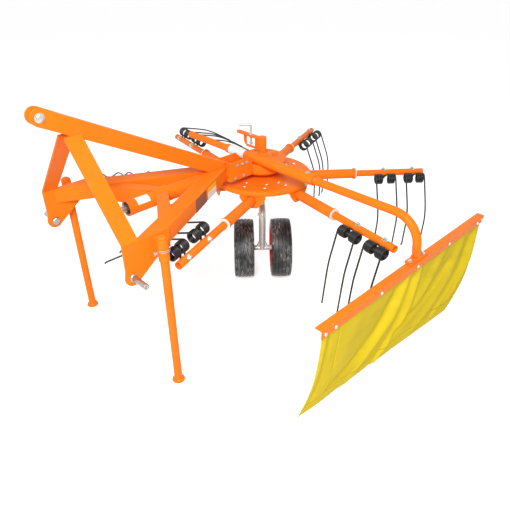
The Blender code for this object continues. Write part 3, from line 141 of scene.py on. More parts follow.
# Gear housing, post, lever and pin
HOUSING_BOTTOM = 0.7135
HOUSING_FLARE = 0.738
HOUSING_SHOULDER = 0.7972
HOUSING_TOP = 0.8122
HOUSING_FOOT_RADIUS = 0.105
HOUSING_RADIUS = 0.143
HOUSING_CROWN_RADIUS = 0.066
BOSS_COUNT = 4
FIRST_BOSS = math.radians(-15)
BOSS_RADIUS = 0.019
BOSS_PLACE = 0.088
BOSS_HEIGHT = 0.010
BOSS_SOCKET_DEPTH = 0.008
NECK_HALF = 0.050
NECK_ROOT = 0.060
NECK_FRONT = 0.215
NECK_BOTTOM = 0.735
NECK_TOP = 0.791
BEARING_RADIUS = 0.058
POST_RADIUS = 0.025
POST_BOTTOM = 0.590
POST_TOP = 0.920
POST_UPPER_RADIUS = 0.0262
SOCKET_RADIUS = 0.0187
POST_FOOT_RADIUS = 0.040
POST_FOOT_HEIGHT = 0.016
SOCKET_DEPTH = 0.090
PIN_PLACE = -0.095
PIN_BOTTOM = 0.850
PIN_TOP = 0.972
PIN_RADIUS = 0.0078
PIN_HEADING = math.radians(-134)
PIN_HANDLE = 0.070
LEVER_TOP = 0.912
CLIP_HEIGHT = 0.005
CLIP_RADIUS = 0.013
CLIP_ANGLE = 2.2
CLIP_WIRE = 0.0013

# Caster and wheels
CASTER_HEADING = math.radians(-42.5)
CASTER_TRAIL = 0.053
WHEEL_RADIUS = 0.191
TYRE_WIDTH = 0.126
TYRE_SPACING = 0.236
TYRE_BEAD = 0.130
BEAD_SHARE = 0.90
TYRE_CROWN = 0.004
TYRE_WALL = ((0.008, 0.97), (0.018, 1), (0.030, 1), (0.032, 1 - 0.003 / TYRE_WIDTH),
             (0.036, 1), (0.047, 0.985))
RIM_DISH = 0.012
RIM_BOLTS = 5
RIM_BOLT_PLACE = 0.046
VALVE_PLACE = math.radians(200)
VALVE_LEAN = math.radians(8)
STEM_RADIUS = 0.018
STEM_TOP = 0.664
LEG_TOP = 0.480
LEG_RADIUS = 0.021
AXLE_TUBE_RADIUS = 0.0165
AXLE_RADIUS = 0.010
HUB_LENGTH = 0.100
HUB_RADIUS_WHEEL = 0.028
GUSSET = ((-0.002, 0.060), (0.002, 0.040), (0.014, 0.016), (-0.002, 0.012))

# Drive
DRIVE_HEIGHT = 0.785
DRIVE_RADIUS = 0.0395
DRIVE_INNER = 0.035
DRIVE_FRONT = -0.942
DRIVE_POCKET = 0.060
DRIVE_RING_LENGTH = 0.034
STUB_RADIUS = 0.0174
STUB_ROOT = 0.0148
STUB_REACH = 0.058
STUB_SPLINES = 6
STUB_TOOTH = (
    (STUB_ROOT, 0.0), (STUB_RADIUS, 0.12), (STUB_RADIUS, 0.50), (STUB_ROOT, 0.62), (STUB_ROOT, 0.81))
STUB_FLANGE = 0.0335

# Frame, hitch and mast
BEAM_TOP = 0.832
BEAM_WIDTH = 0.090
BEAM_ANGLE = math.radians(27.8)
BEAM_REAR = 0.306
BEAM_REAR_HALF = 0.031
CHEEK_OUTER = 0.378
CHEEK_THICK = 0.012
HITCH_PIN = (-1.160, 0.662)
HITCH_PIN_RADIUS = 0.014
HITCH_PIN_LENGTH = 0.098
TOP_PIN = (-1.272, 1.313)
TOP_PIN_RADIUS = 0.0095
TOP_PIN_HEAD = (0.0145, 0.009)
BRACE_HALF = 0.028
BRACKET_SHEET = 0.008
BRACKET_BOLTS = ((-0.257, 0.829), (-0.217, 0.829), (-0.180, 0.829), (-0.205, 0.755), (-0.270, 0.755))
EDGE_BEVEL = 0.0014
CROSS_FRONT = 0.762
CROSS_REAR = 0.692
CROSS_FRONT_SLOPE = 0.66
CROSS_REAR_SLOPE = 0.62
CROSS_TOP = 0.820
CROSS_SHEET = 0.006
CROSS_HEIGHT = 0.080
CROSS_SOLE = 0.075
CROSS_INNER = 0.0277
CROSS_FACE_INNER = 0.0405
STRAP_SHEET = 0.0055
STRAP_ANGLES = (math.radians(-190), math.radians(10))

# Boom, bar and curtain
BOOM_Y = -0.100
BOOM_HEIGHT = 0.826
BOOM_RADIUS = 0.021
BOOM_RIGHT = -0.557
BOOM_END = 1.122
BOOM_BEND = 0.140
BOOM_SLEEVE_RADIUS = 0.0292
BOOM_COLLAR_RADIUS = 0.0268
BOOM_COLLAR_END = -0.030
BOOM_FOOT = (1.112, -0.064)
BOOM_SLEEVE_SPAN = (-0.195, 0.490)
BOOM_LOCK_PLACE = 0.440
BAR_TOP = 0.605
BAR_INNER = 1.100
BAR_FLANGE = 0.040
BAR_THICK = 0.005
BAR_SPAN = (-0.800, 0.600)
END_PLATE = (0.044, 0.150, 0.008)
FOOT_BOLT_HALF = 0.052
BAR_BOLTS = (-0.776, -0.710, -0.385, -0.080, 0.222, 0.532, 0.588)
BAR_BOLT_DROP = 0.026
CURTAIN_THICK = 0.0014
CURTAIN_BOTTOM = 0.050
CURTAIN_MARGIN = 0.010
CURTAIN_ROWS = 112
CURTAIN_COLUMNS = 270
CURTAIN_PLANE = BAR_INNER + BAR_FLANGE - BAR_THICK - 0.0052
CURTAIN_LEAN = 0.080
CURTAIN_FREE = 0.22
CURTAIN_CUT = 0.200
CURTAIN_CUT_POWER = 5.5
CURTAIN_SEAM = -0.665
STITCH_HALF = 0.0022
CURTAIN_CALM = 0.70
CURTAIN_CALM_START = 0.70
CURTAIN_TIP = 0.036
CURTAIN_TIP_START = 0.45
HEM_CLOTH = 0.0012
FOLD_GAIN = 1.3
CURTAIN_HEM = 0.058

# Folds of the curtain: points (y, z) of each fold's line, its reach to either side, and its depth
CURTAIN_FOLDS = (
    (((-0.762, 0.560), (-0.775, 0.300), (-0.782, 0.060)), 0.020, 0.008),
    (((-0.725, 0.570), (-0.745, 0.300), (-0.755, 0.060)), 0.022, -0.006),
    (((-0.560, 0.560), (-0.600, 0.300), (-0.640, 0.060)), 0.090, 0.008),
    (((-0.190, 0.540), (-0.323, 0.322), (-0.460, 0.210), (-0.600, 0.140)), 0.040, -0.017),
    (((-0.140, 0.560), (-0.215, 0.350), (-0.340, 0.200), (-0.420, 0.060)), 0.032, 0.014),
    (((-0.085, 0.500), (-0.120, 0.359), (-0.145, 0.211), (-0.215, 0.050)), 0.022, -0.013),
    (((-0.030, 0.540), (-0.060, 0.340), (-0.110, 0.180), (-0.170, 0.050)), 0.022, 0.010),
    (((0.290, 0.420), (0.140, 0.300), (-0.040, 0.210), (-0.160, 0.150)), 0.032, -0.014),
    (((0.180, 0.540), (0.090, 0.400), (0.000, 0.300)), 0.040, 0.010),
    (((0.200, 0.305), (0.060, 0.280), (-0.060, 0.285)), 0.008, -0.004),
    (((0.400, 0.550), (0.330, 0.330), (0.170, 0.110)), 0.045, 0.013),
    (((0.515, 0.500), (0.485, 0.330), (0.340, 0.110)), 0.030, -0.014),
    (((0.565, 0.540), (0.560, 0.330), (0.470, 0.130)), 0.022, 0.009))

# Stands
STAND_PLACE = (0.437, -1.033)
STAND_RADIUS = 0.020
STAND_TOP = 0.846
STAND_SLEEVE_RADIUS = 0.025
STAND_SLEEVE_SPAN = (0.724, 0.834)
STAND_PIN_HEIGHT = 0.775
FOOT_RADIUS = 0.033
RING_RISE = 0.010
RING_STEPS = 28

# Bare plates (finish, place forward, length, height, depth below the beam's top), and labels (span, degrees)
PLATES = (
    ("brown_plate", "brown_film", 0.633, 0.132, 0.068, 0.043),
    ("yellow_plate", "yellow_film", 0.507, 0.112, 0.026, 0.025),
    ("white_plate", "white_film", 0.507, 0.112, 0.040, 0.058))
BOOM_LABEL = (-0.165, -0.034, 100, 330)
DRIVE_LABEL = (-0.893, -0.821, -85, -22)

# Stage: lamps (place, target, size, power) and the camera's place, angles in degrees and lens
WHITE = (1.0, 1.0, 1.0, 1.0)
FLOOR_HALF = 60.0
FLOOR_GLOW = 0.58
WORLD_LIGHT = 0.46
LAMPS = (
    ("key", (2.3, -2.7, 3.3), (0.2, -0.2, 0.5), 1.3, 190),
    ("fill", (-3.4, -2.2, 2.6), (0, 0, 0.6), 3.0, 18),
    ("back", (0.5, 3.6, 3.2), (0, 0, 0.6), 2.6, 24))
CAMERA_PLACE = (2.052, -2.043, 1.918)
CAMERA_ANGLES = (46.04, 32.13, -0.35)
CAMERA_LENS = 35.84


def colour_setting(name, description, value):
    """Setting that holds a colour."""
    return bpy.props.FloatVectorProperty(name=name, description=description, subtype="COLOR", default=value)


def length_setting(name, description, value):
    """Setting that holds a length."""
    return bpy.props.FloatProperty(name=name, description=description, unit="LENGTH", default=value)


class RakeColours(bpy.types.PropertyGroup):
    """Base colours of the rake's finishes."""

    paint: colour_setting("Paint", "Gloss paint of frame and rotor", (0.93, 0.190, 0.010))
    spring: colour_setting("Springs", "Coating of the spring tines", (0.007, 0.007, 0.008))
    zinc: colour_setting("Zinc", "Plating of leg, pins and bolts", (0.60, 0.60, 0.58))
    steel: colour_setting("Bare steel", "Machined pins and stub", (0.42, 0.40, 0.38))
    rubber: colour_setting("Rubber", "Tyre rubber", (0.009, 0.009, 0.010))
    rim: colour_setting("Rims", "Paint of the wheel rims", (0.60, 0.018, 0.016))
    cloth: colour_setting("Curtain", "Coated cloth of the curtain", (0.70, 0.525, 0.021))


class RakeSizes(bpy.types.PropertyGroup):
    """Sizes of fine shapes that may be changed by themselves."""

    wire: length_setting("Tine wire", "Radius of the spring wire", 0.0048)
    groove: length_setting("Tread groove", "Depth of the tyres' grooves", 0.0050)
    groove_count: bpy.props.IntProperty(
        name="Tread grooves", description="Grooves round each tyre", default=5, min=1, max=9)
    fold: length_setting("Curtain folds", "Depth of the curtain's broad waves", 0.006)
    stitch: length_setting("Curtain stitches", "Depth of the curtain's sewn lines", 0.0030)


class Field:
    """A value in a finish's nodes, so that shader maths reads as plain sums."""

    def __init__(self, finish, socket):
        self.finish = finish
        self.socket = socket

    def _join(self, operation, first, second):
        node = self.finish.node("ShaderNodeMath", {"operation": operation}, {0: first, 1: second})
        return Field(self.finish, node.outputs[0])

    def __add__(self, other):
        return self._join("ADD", self, other)

    def __radd__(self, other):
        return self._join("ADD", other, self)

    def __sub__(self, other):
        return self._join("SUBTRACT", self, other)

    def __rsub__(self, other):
        return self._join("SUBTRACT", other, self)

    def __mul__(self, other):
        return self._join("MULTIPLY", self, other)

    def __rmul__(self, other):
        return self._join("MULTIPLY", other, self)


class Nodes:
    """Node tree of a finish or of the world."""

    def __init__(self, tree):
        self.tree = tree

    def node(self, kind, settings=None, inputs=None):
        """Node of a kind, with its settings made first and then its sockets set or linked."""
        node = self.tree.nodes.new(kind)
        for key, value in (settings or {}).items():
            setattr(node, key, value)
        for key, value in (inputs or {}).items():
            self.feed(node.inputs[key], value)
        return node

    def feed(self, socket, value):
        """Set a socket, or link it to a field or another socket."""
        if isinstance(value, Field):
            value = value.socket
        if isinstance(value, bpy.types.NodeSocket):
            self.tree.links.new(value, socket)
        else:
            socket.default_value = value

    def seen(self):
        """1 for rays from the camera, a gloss or glass, else 0."""
        rays = self.node("ShaderNodeLightPath").outputs
        seen = Field(self, rays["Is Camera Ray"]) + Field(self, rays["Is Glossy Ray"])
        return seen + Field(self, rays["Is Transmission Ray"])


class Finish(Nodes):
    """One procedural material: a Principled shader and the nodes that feed it."""

    def __init__(self, name):
        self.material = bpy.data.materials.new(name)
        self.material.use_nodes = True
        super().__init__(self.material.node_tree)
        self.shader = self.tree.nodes["Principled BSDF"]
        self.place = self.node("ShaderNodeTexCoord").outputs["Object"]

    def stretched(self, scale):
        """Object coordinates stretched along each axis."""
        return self.node("ShaderNodeMapping", None, {"Vector": self.place, "Scale": scale}).outputs["Vector"]

    def noise(self, scale, detail=3.0, rough=0.5, place=None):
        """Cloudy field from 0 to 1."""
        node = self.node("ShaderNodeTexNoise", None, {
            "Vector": place or self.place, "Scale": scale, "Detail": detail, "Roughness": rough})
        return Field(self, node.outputs["Fac"])

    def cells(self, scale):
        """Distance to the nearest of scattered points."""
        node = self.node("ShaderNodeTexVoronoi", None, {"Vector": self.place, "Scale": scale})
        return Field(self, node.outputs["Distance"])

    def bands(self, scale, direction):
        """Even waves along one axis."""
        node = self.node("ShaderNodeTexWave", {"bands_direction": direction},
                         {"Vector": self.place, "Scale": scale})
        return Field(self, node.outputs["Fac"])

    def step(self, field, low, high):
        """Smooth rise from 0 to 1 as a field goes from low to high."""
        node = self.node("ShaderNodeMapRange", {"interpolation_type": "SMOOTHSTEP"},
                         {"Value": field, "From Min": low, "From Max": high})
        return Field(self, node.outputs["Result"])

    def mix(self, factor, first, second):
        """Colour between two colours."""
        node = self.node("ShaderNodeMix", {"data_type": "RGBA"}, {
            0: factor, 6: colour4(first), 7: colour4(second)})
        return node.outputs[2]

    def bump(self, height, distance, strength):
        """Fine relief on the surface."""
        node = self.node("ShaderNodeBump", None, {
            "Height": height, "Distance": distance, "Strength": strength})
        self.feed(self.shader.inputs["Normal"], node.outputs["Normal"])

    def set(self, **values):
        """Set or link the shader's own sockets, named with _ for each blank."""
        for key, value in values.items():
            self.feed(self.shader.inputs[key.replace("_", " ").title()], value)
        return self.material


def colour4(value):
    """Colour with its alpha, or a link as it is."""
    if isinstance(value, (bpy.types.NodeSocket, Field)):
        return value
    return (*value, 1.0)


def shaded(colour, factor):
    """Colour made lighter or darker."""
    return tuple(min(1.0, part * factor) for part in colour)


def paint_finish(name, colour, gloss=0.30):
    """Gloss paint: slight waves of tone, fine grain, specks of wear and a breath of dust."""
    finish = Finish(name)
    tone = finish.noise(5.0, 3.0)
    grain = finish.noise(140.0, 4.0, 0.6)
    dust = finish.step(finish.noise(14.0, 6.0, 0.65), 0.56, 0.80)
    speck = finish.step(finish.cells(75.0), 0.055, 0.030) * finish.step(finish.noise(9.0), 0.56, 0.66)
    base = finish.mix(tone, shaded(colour, 0.90), shaded(colour, 1.06))
    dusty = finish.mix(dust * 0.14, base, (0.62, 0.40, 0.24))
    worn = finish.mix(speck * 0.75, dusty, shaded(colour, 0.42))
    finish.bump(grain * 0.5 + finish.noise(430.0, 2.0) * 0.5, 0.00035, 0.5)
    finish.shader.inputs["Specular IOR Level"].default_value = 0.08
    return finish.set(base_color=worn, roughness=gloss + grain * 0.08 + dust * 0.22)


def zinc_finish(colour):
    """Zinc plate: bright metal with soft blotches and fine scratches along the piece."""
    finish = Finish("zinc_plate")
    blotch = finish.noise(22.0, 4.0, 0.6)
    scratch = finish.noise(60.0, 3.0, 0.5, finish.stretched((1.0, 1.0, 14.0)))
    tint = finish.mix(blotch, shaded(colour, 0.78), (0.74, 0.73, 0.68))
    finish.bump(scratch * 0.6 + blotch * 0.4, 0.0003, 0.4)
    return finish.set(base_color=tint, metallic=0.95, roughness=0.20 + blotch * 0.16 + scratch * 0.08)


def dull_zinc_finish(colour):
    """Dulled zinc on the caster's leg: soft metal with grey blotches and dirt."""
    finish = Finish("dull_zinc")
    blotch = finish.noise(26.0, 4.0, 0.6)
    dirt = finish.step(finish.noise(18.0, 5.0, 0.7), 0.54, 0.76)
    tint = finish.mix(blotch, shaded(colour, 0.80), shaded(colour, 1.10))
    dirty = finish.mix(dirt * 0.55, tint, (0.10, 0.095, 0.09))
    finish.bump(blotch, 0.0004, 0.4)
    gloss = 0.30 + blotch * 0.14 + dirt * 0.20
    return finish.set(base_color=dirty, metallic=0.32 - dirt * 0.2, roughness=gloss)


def steel_finish(colour):
    """Bare turned steel: fine rings of the tool, oil film and a little rust."""
    finish = Finish("bright_steel")
    rings = finish.noise(40.0, 2.0, 0.5, finish.stretched((22.0, 1.5, 22.0)))
    rust = finish.step(finish.noise(34.0, 5.0, 0.7), 0.60, 0.76)
    tint = finish.mix(rings, shaded(colour, 0.80), shaded(colour, 1.25))
    aged = finish.mix(rust * 0.55, tint, (0.19, 0.085, 0.040))
    finish.bump(rings, 0.0003, 0.5)
    gloss = 0.30 + rust * 0.35 + rings * 0.10
    return finish.set(base_color=aged, metallic=0.92 - rust * 0.5, roughness=gloss)


def spring_finish(colour):
    """Black coating on spring wire, with worn lighter flecks."""
    finish = Finish("black_spring")
    fleck = finish.step(finish.noise(190.0, 4.0, 0.6), 0.58, 0.74)
    tone = finish.noise(30.0)
    base = finish.mix(tone, shaded(colour, 0.7), shaded(colour, 1.6))
    flecked = finish.mix(fleck * 0.35, base, (0.10, 0.10, 0.10))
    finish.bump(finish.noise(320.0, 3.0), 0.0003, 0.5)
    finish.shader.inputs["Specular IOR Level"].default_value = 0.40
    return finish.set(base_color=flecked, roughness=0.30 + tone * 0.16)


def rubber_finish(colour):
    """Tyre rubber: matt, with pale scuffs and dust that lie round the tread; the scuffs, partly real, are
    strengthened as a painted reflection of the floor.
    """
    finish = Finish("tyre_rubber")
    heading = finish.node("ShaderNodeMapping", None, {
        "Vector": finish.place, "Rotation": (0.0, 0.0, -CASTER_HEADING), "Scale": (1.0, 1.0, 1.0)})
    long_way = finish.node("ShaderNodeMapping", None, {
        "Vector": heading.outputs["Vector"], "Scale": (4.0, 38.0, 3.0)})
    scuff_and_sheen = finish.step(finish.noise(9.0, 6.0, 0.7, long_way.outputs["Vector"]), 0.50, 0.60)
    patch = finish.step(finish.noise(8.0, 3.0), 0.34, 0.56)
    grit = finish.step(finish.noise(160.0, 5.0, 0.7), 0.52, 0.66)
    tone = finish.mix(finish.noise(12.0), shaded(colour, 0.75), shaded(colour, 1.5))
    # Pale scuffs: partly real scuffs, partly a painted reflection of the floor laid round the tread.
    pale = finish.mix(scuff_and_sheen * patch * 0.50 + grit * patch * 0.14, tone, (0.62, 0.63, 0.62))
    finish.bump(finish.noise(240.0, 4.0, 0.6), 0.0006, 0.6)
    finish.shader.inputs["Specular IOR Level"].default_value = 0.35
    return finish.set(base_color=pale, roughness=0.42 + grit * 0.20)


def cloth_finish(colour):
    """Coated woven cloth: a plain weave in relief, creases in relief with painted shade along them, faint
    soil, and stitches on hem and seam.
    """
    finish = Finish("yellow_cloth")
    weave = finish.bands(260.0, "Y") * 0.5 + finish.bands(260.0, "Z") * 0.5
    broad = finish.noise(3.2, 5.0, 0.6)
    crease_and_shade = finish.noise(7.0, 6.0, 0.6, finish.stretched((1.0, 0.7, 2.2)))
    soil = finish.step(finish.noise(16.0, 6.0, 0.7), 0.58, 0.82)
    base = finish.mix(broad, shaded(colour, 0.86), shaded(colour, 1.08))
    # Painted shade: the colour is darkened along the creases, where shade falls in the folds.
    darker = finish.mix(finish.step(crease_and_shade, 0.52, 0.72) * 0.25, base, shaded(colour, 0.62))
    marked = finish.mix(soil * 0.14, darker, (0.30, 0.21, 0.06))
    spot = finish.node("ShaderNodeSeparateXYZ", None, {0: finish.place})
    hem_gap = Field(finish, spot.outputs["Z"]) - (CURTAIN_BOTTOM + CURTAIN_HEM)
    seam_gap = Field(finish, spot.outputs["Y"]) - (CURTAIN_SEAM + ROTOR_PLACE.y)
    thread = []
    for gap, direction in ((hem_gap, "Y"), (seam_gap, "Z")):
        stitches = finish.step(finish.bands(52.0, direction), 0.15, 0.40)
        thread.append(finish.step(gap * gap, STITCH_HALF ** 2, 0.0) * stitches)
    sewn = finish.mix(thread[0] * 0.55 + thread[1] * 0.55, marked, shaded(colour, 0.30))
    finish.bump(weave * 0.30 + crease_and_shade * 0.70, 0.0016, 0.45)
    finish.shader.inputs["Specular IOR Level"].default_value = 0.06
    return finish.set(base_color=sewn, roughness=0.50 + broad * 0.14 + weave * 0.06)


def plain_finish(name, colour, roughness=0.35):
    """Plastic or printed film: an even colour with slight grain and handling marks."""
    finish = Finish(name)
    grain = finish.noise(120.0, 4.0, 0.6)
    mark = finish.step(finish.noise(40.0, 5.0, 0.7), 0.60, 0.78)
    base = finish.mix(grain, shaded(colour, 0.92), shaded(colour, 1.05))
    marked = finish.mix(mark * 0.20, base, shaded(colour, 0.60))
    finish.bump(grain, 0.0002, 0.4)
    return finish.set(base_color=marked, roughness=roughness + grain * 0.12)


def floor_finish():
    """Pale floor that meets the white background and keeps the object's shadow."""
    finish = Finish("pale_floor")
    seen = finish.seen()
    grain = finish.noise(2.0, 2.0)
    finish.set(base_color=finish.mix(grain, (0.78, 0.78, 0.78), (0.80, 0.80, 0.80)), roughness=0.9)
    glow = finish.node("ShaderNodeEmission", None, {"Color": WHITE, "Strength": FLOOR_GLOW})
    lit = finish.node("ShaderNodeAddShader", None, {0: finish.shader.outputs[0], 1: glow.outputs[0]})
    both = finish.node("ShaderNodeMixShader", None, {
        0: seen, 1: finish.shader.outputs[0], 2: lit.outputs[0]})
    finish.feed(finish.tree.nodes["Material Output"].inputs["Surface"], both.outputs[0])
    return finish.material


FINISHES = {}


def make_finishes():
    """Every finish of the rake, by name."""
    colours = bpy.context.scene.rake_colours
    FINISHES["orange_paint"] = paint_finish("orange_paint", colours.paint)
    FINISHES["zinc_plate"] = zinc_finish(colours.zinc)
    FINISHES["dull_zinc"] = dull_zinc_finish(shaded(colours.zinc, 1.02))
    FINISHES["bright_steel"] = steel_finish(colours.steel)
    FINISHES["black_spring"] = spring_finish(colours.spring)
    FINISHES["tyre_rubber"] = rubber_finish(colours.rubber)
    FINISHES["red_rim"] = paint_finish("red_rim", colours.rim, 0.34)
    FINISHES["yellow_cloth"] = cloth_finish(colours.cloth)
    FINISHES["pale_plastic"] = plain_finish("pale_plastic", (0.82, 0.80, 0.74), 0.42)
    FINISHES["white_film"] = plain_finish("white_film", (0.80, 0.80, 0.80))
    FINISHES["brown_film"] = plain_finish("brown_film", (0.22, 0.055, 0.025))
    FINISHES["yellow_film"] = plain_finish("yellow_film", (0.88, 0.50, 0.02))


def shift(x=0.0, y=0.0, z=0.0):
    """Matrix that moves."""
    return Matrix.Translation((x, y, z))


def turn(angle, axis="Z"):
    """Matrix that turns about an axis."""
    return Matrix.Rotation(angle, 4, axis)


ALONG_X = turn(math.pi / 2, "Y")
ALONG_Y = turn(-math.pi / 2, "X")
UPSIDE_DOWN = turn(math.pi, "X")
BACK_X = turn(-math.pi / 2, "Y")
FACING_X = Matrix(((0, 0, 1, 0), (1, 0, 0, 0), (0, 1, 0, 0), (0, 0, 0, 1)))
FACING_FRONT = Matrix(((1, 0, 0, 0), (0, 0, -1, 0), (0, 1, 0, 0), (0, 0, 0, 1)))


def rounded(points, radius, steps=3, closed=False):
    """Points of an outline with its corners rounded; the ends stay as they are unless it is closed."""
    points = [Vector(point) for point in points]
    count = len(points)
    result = []
    for index, corner in enumerate(points):
        if not closed and index in (0, count - 1):
            result.append(corner)
            continue
        before = points[index - 1]
        after = points[(index + 1) % count]
        reach = min(radius, (corner - before).length * 0.45, (after - corner).length * 0.45)
        first = corner + (before - corner).normalized() * reach
        last = corner + (after - corner).normalized() * reach
        for step in range(steps + 1):
            share = step / steps
            result.append(first * (1 - share) ** 2 + corner * 2 * share * (1 - share) + last * share ** 2)
    return result


def arc(radius, start, end, steps):
    """Points of an arc about the origin, both ends included."""
    angles = [start + (end - start) * step / steps for step in range(steps + 1)]
    return [(radius * math.cos(angle), radius * math.sin(angle)) for angle in angles]


def oblong(low, high):
    """Four corners of an upright rectangle between two of them."""
    return [(low[0], low[1]), (high[0], low[1]), (high[0], high[1]), (low[0], high[1])]


def soft_oblong(low, high, radius, steps):
    """Upright rectangle between two corners, with its corners rounded."""
    return rounded(oblong(low, high), radius, steps, closed=True)


class Shape:
    """Mesh that grows by turned, swept and pushed forms, each set down by a matrix."""

    def __init__(self):
        self.bm = bmesh.new()

    def turned(self, profile, sides, place=STAY, closed=False):
        """Profile of (radius, height) turned about Z; closed joins its last point to its first."""
        rings = []
        for radius, height in profile:
            if radius == 0:
                rings.append([self.bm.verts.new(place @ Vector((0, 0, height)))])
                continue
            rings.append([
                self.bm.verts.new(place @ Vector((
                    radius * math.cos(math.tau * step / sides),
                    radius * math.sin(math.tau * step / sides),
                    height)))
                for step in range(sides)])
        pairs = list(zip(rings, rings[1:]))
        if closed:
            pairs.append((rings[-1], rings[0]))
        for first, second in pairs:
            for step in range(sides):
                after = (step + 1) % sides
                corners = [first[step % len(first)], first[after % len(first)]]
                corners += [second[after % len(second)], second[step % len(second)]]
                corners = list(dict.fromkeys(corners))
                if len(corners) > 2:
                    self.bm.faces.new(corners)

    def ring(self, profile, radius, steps, sides=96, place=STAY):
        """Closed ring turned from a profile with rounded corners."""
        self.turned(rounded(profile, radius, steps, closed=True), sides, place, closed=True)

    def rod(self, radius, low, high, sides=32, place=STAY, chamfer=0.001):
        """Solid round bar with softened ends."""
        outline = [(0, low), (radius, low), (radius, high), (0, high)]
        self.turned(soft_ends(outline, chamfer), sides, place)

    def pipe(self, outer, inner, low, high, sides=40, place=STAY, chamfer=0.0008):
        """Open tube with softened rims."""
        self.ring([(outer, low), (outer, high), (inner, high), (inner, low)], chamfer, 2, sides, place)

    def swept(self, path, radius, sides, place=STAY):
        """Round wire or tube along a list of points."""
        points = [Vector(point) for point in path]
        count = len(points)
        tangent = (points[1] - points[0]).normalized()
        side = tangent.orthogonal().normalized()
        rings = []
        for index, point in enumerate(points):
            ahead = points[min(index + 1, count - 1)] - points[max(index - 1, 0)]
            new_tangent = ahead.normalized()
            side = tangent.rotation_difference(new_tangent) @ side
            side = (side - new_tangent * side.dot(new_tangent)).normalized()
            tangent = new_tangent
            up = tangent.cross(side)
            rings.append([
                self.bm.verts.new(place @ (point + radius * (
                    math.cos(math.tau * step / sides) * side + math.sin(math.tau * step / sides) * up)))
                for step in range(sides)])
        for first, second in zip(rings, rings[1:]):
            for step in range(sides):
                after = (step + 1) % sides
                self.bm.faces.new((first[step], first[after], second[after], second[step]))
        self.bm.faces.new(list(reversed(rings[0])))
        self.bm.faces.new(rings[-1])

    def plate(self, outline, low, high, place=STAY):
        """Flat outline pushed along Z from low to high."""
        bottom = [self.bm.verts.new(place @ Vector((a, b, low))) for a, b in outline]
        top = [self.bm.verts.new(place @ Vector((a, b, high))) for a, b in outline]
        self.bm.faces.new(list(reversed(bottom)))
        self.bm.faces.new(top)
        for index in range(len(bottom)):
            after = (index + 1) % len(bottom)
            self.bm.faces.new((bottom[index], bottom[after], top[after], top[index]))

    def block(self, low, high, place=STAY):
        """Box between two corners."""
        self.plate(oblong(low, high), low[2], high[2], place)

    def bolt(self, place, radius=NUT_RADIUS, height=0.006):
        """Hexagon head with a chamfered crown on its washer, standing on z = 0."""
        washer = radius * 1.45
        base = WASHER_SHEET
        edge = base + height * 0.8
        top = base + height
        self.turned(soft_ends([(0, 0), (washer, 0), (washer, base), (0, base)], 0.0004), 24, place)
        self.turned([(0, base), (radius, base), (radius, edge), (radius * 0.82, top), (0, top)], 6, place)

    def button(self, place, radius, height):
        """Low dome head, standing on z = 0."""
        dome = [(radius * math.cos(angle), height * math.sin(angle)) for angle in (0, 0.35, 0.75, 1.15)]
        self.turned([(0, 0)] + dome + [(0, height)], 16, place)

    def nut(self, place, radius=NUT_RADIUS, height=NUT_HEIGHT):
        """Lock nut on a washer with the bolt's end in it, standing on z = 0."""
        self.bolt(place, radius, height)
        self.rod(radius * 0.5, height, height + 0.0055, 16, place, 0.0006)

    def mesh(self, name, angle=35):
        """Mesh of the shape, smooth up to an angle; the shape is used up."""
        bmesh.ops.recalc_face_normals(self.bm, faces=self.bm.faces)
        mesh = bpy.data.meshes.new(name)
        self.bm.to_mesh(mesh)
        self.bm.free()
        mesh.shade_smooth()
        mesh.set_sharp_from_angle(angle=math.radians(angle))
        return mesh

    def piece(self, name, finish, body, nodes=(), angle=35, bevel=0.0):
        """Piece of the rake that rides on a body and takes the place of CAD nodes."""
        for vert in self.bm.verts:
            vert.co = HOME @ vert.co
        place_piece(name, self.mesh(name, angle), finish, body, nodes, bevel=bevel)


def soft_ends(outline, chamfer):
    """Profile from axis to axis with its corners rounded."""
    return rounded(outline, chamfer, 2)


def place_piece(name, mesh, finish, body, nodes=(), world=STAY, bevel=0.0):
    """Object for a mesh, with its finish, body and nodes; the finish goes on the mesh unless it has one
    already.
    """
    item = bpy.data.objects.new(name, mesh)
    bpy.context.scene.collection.objects.link(item)
    item.matrix_world = world
    if not mesh.materials:
        mesh.materials.append(FINISHES[finish])
    if bevel:
        soften_edges(item, bevel)
    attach(item, body)
    if nodes:
        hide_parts(*nodes)
    return item


def soften_edges(item, width):
    """Rounded edges with even shading on the flats."""
    bevel = item.modifiers.new("edges", "BEVEL")
    bevel.width = width
    bevel.segments = 2
    bevel.limit_method = "ANGLE"
    bevel.angle_limit = math.radians(40)
    shading = item.modifiers.new("shading", "WEIGHTED_NORMAL")
    shading.keep_sharp = True


def dress(node, finish, bevel=EDGE_BEVEL):
    """Finish and softened edges on a CAD node that stays."""
    item = frame["nodes"].get(node)
    if item is None:
        raise RuntimeError(f"the frame has no node named {node}")
    mesh = item.data
    mesh.materials.clear()
    mesh.materials.append(FINISHES[finish])
    if "custom_normal" in mesh.attributes:
        mesh.attributes.remove(mesh.attributes["custom_normal"])
    mesh.shade_smooth()
    weld = item.modifiers.new("weld", "WELD")
    weld.merge_threshold = 0.00001
    soften_edges(item, bevel)


def arm_place(index, roll=0.0):
    """Place of an arm: its axis from the disc outwards is X, with the arm's top up before the roll."""
    heading = turn(FIRST_ARM + math.tau * index / ARM_COUNT)
    return heading @ shift(0, ARM_OFFSET, ARM_HEIGHT) @ turn(roll, "X")


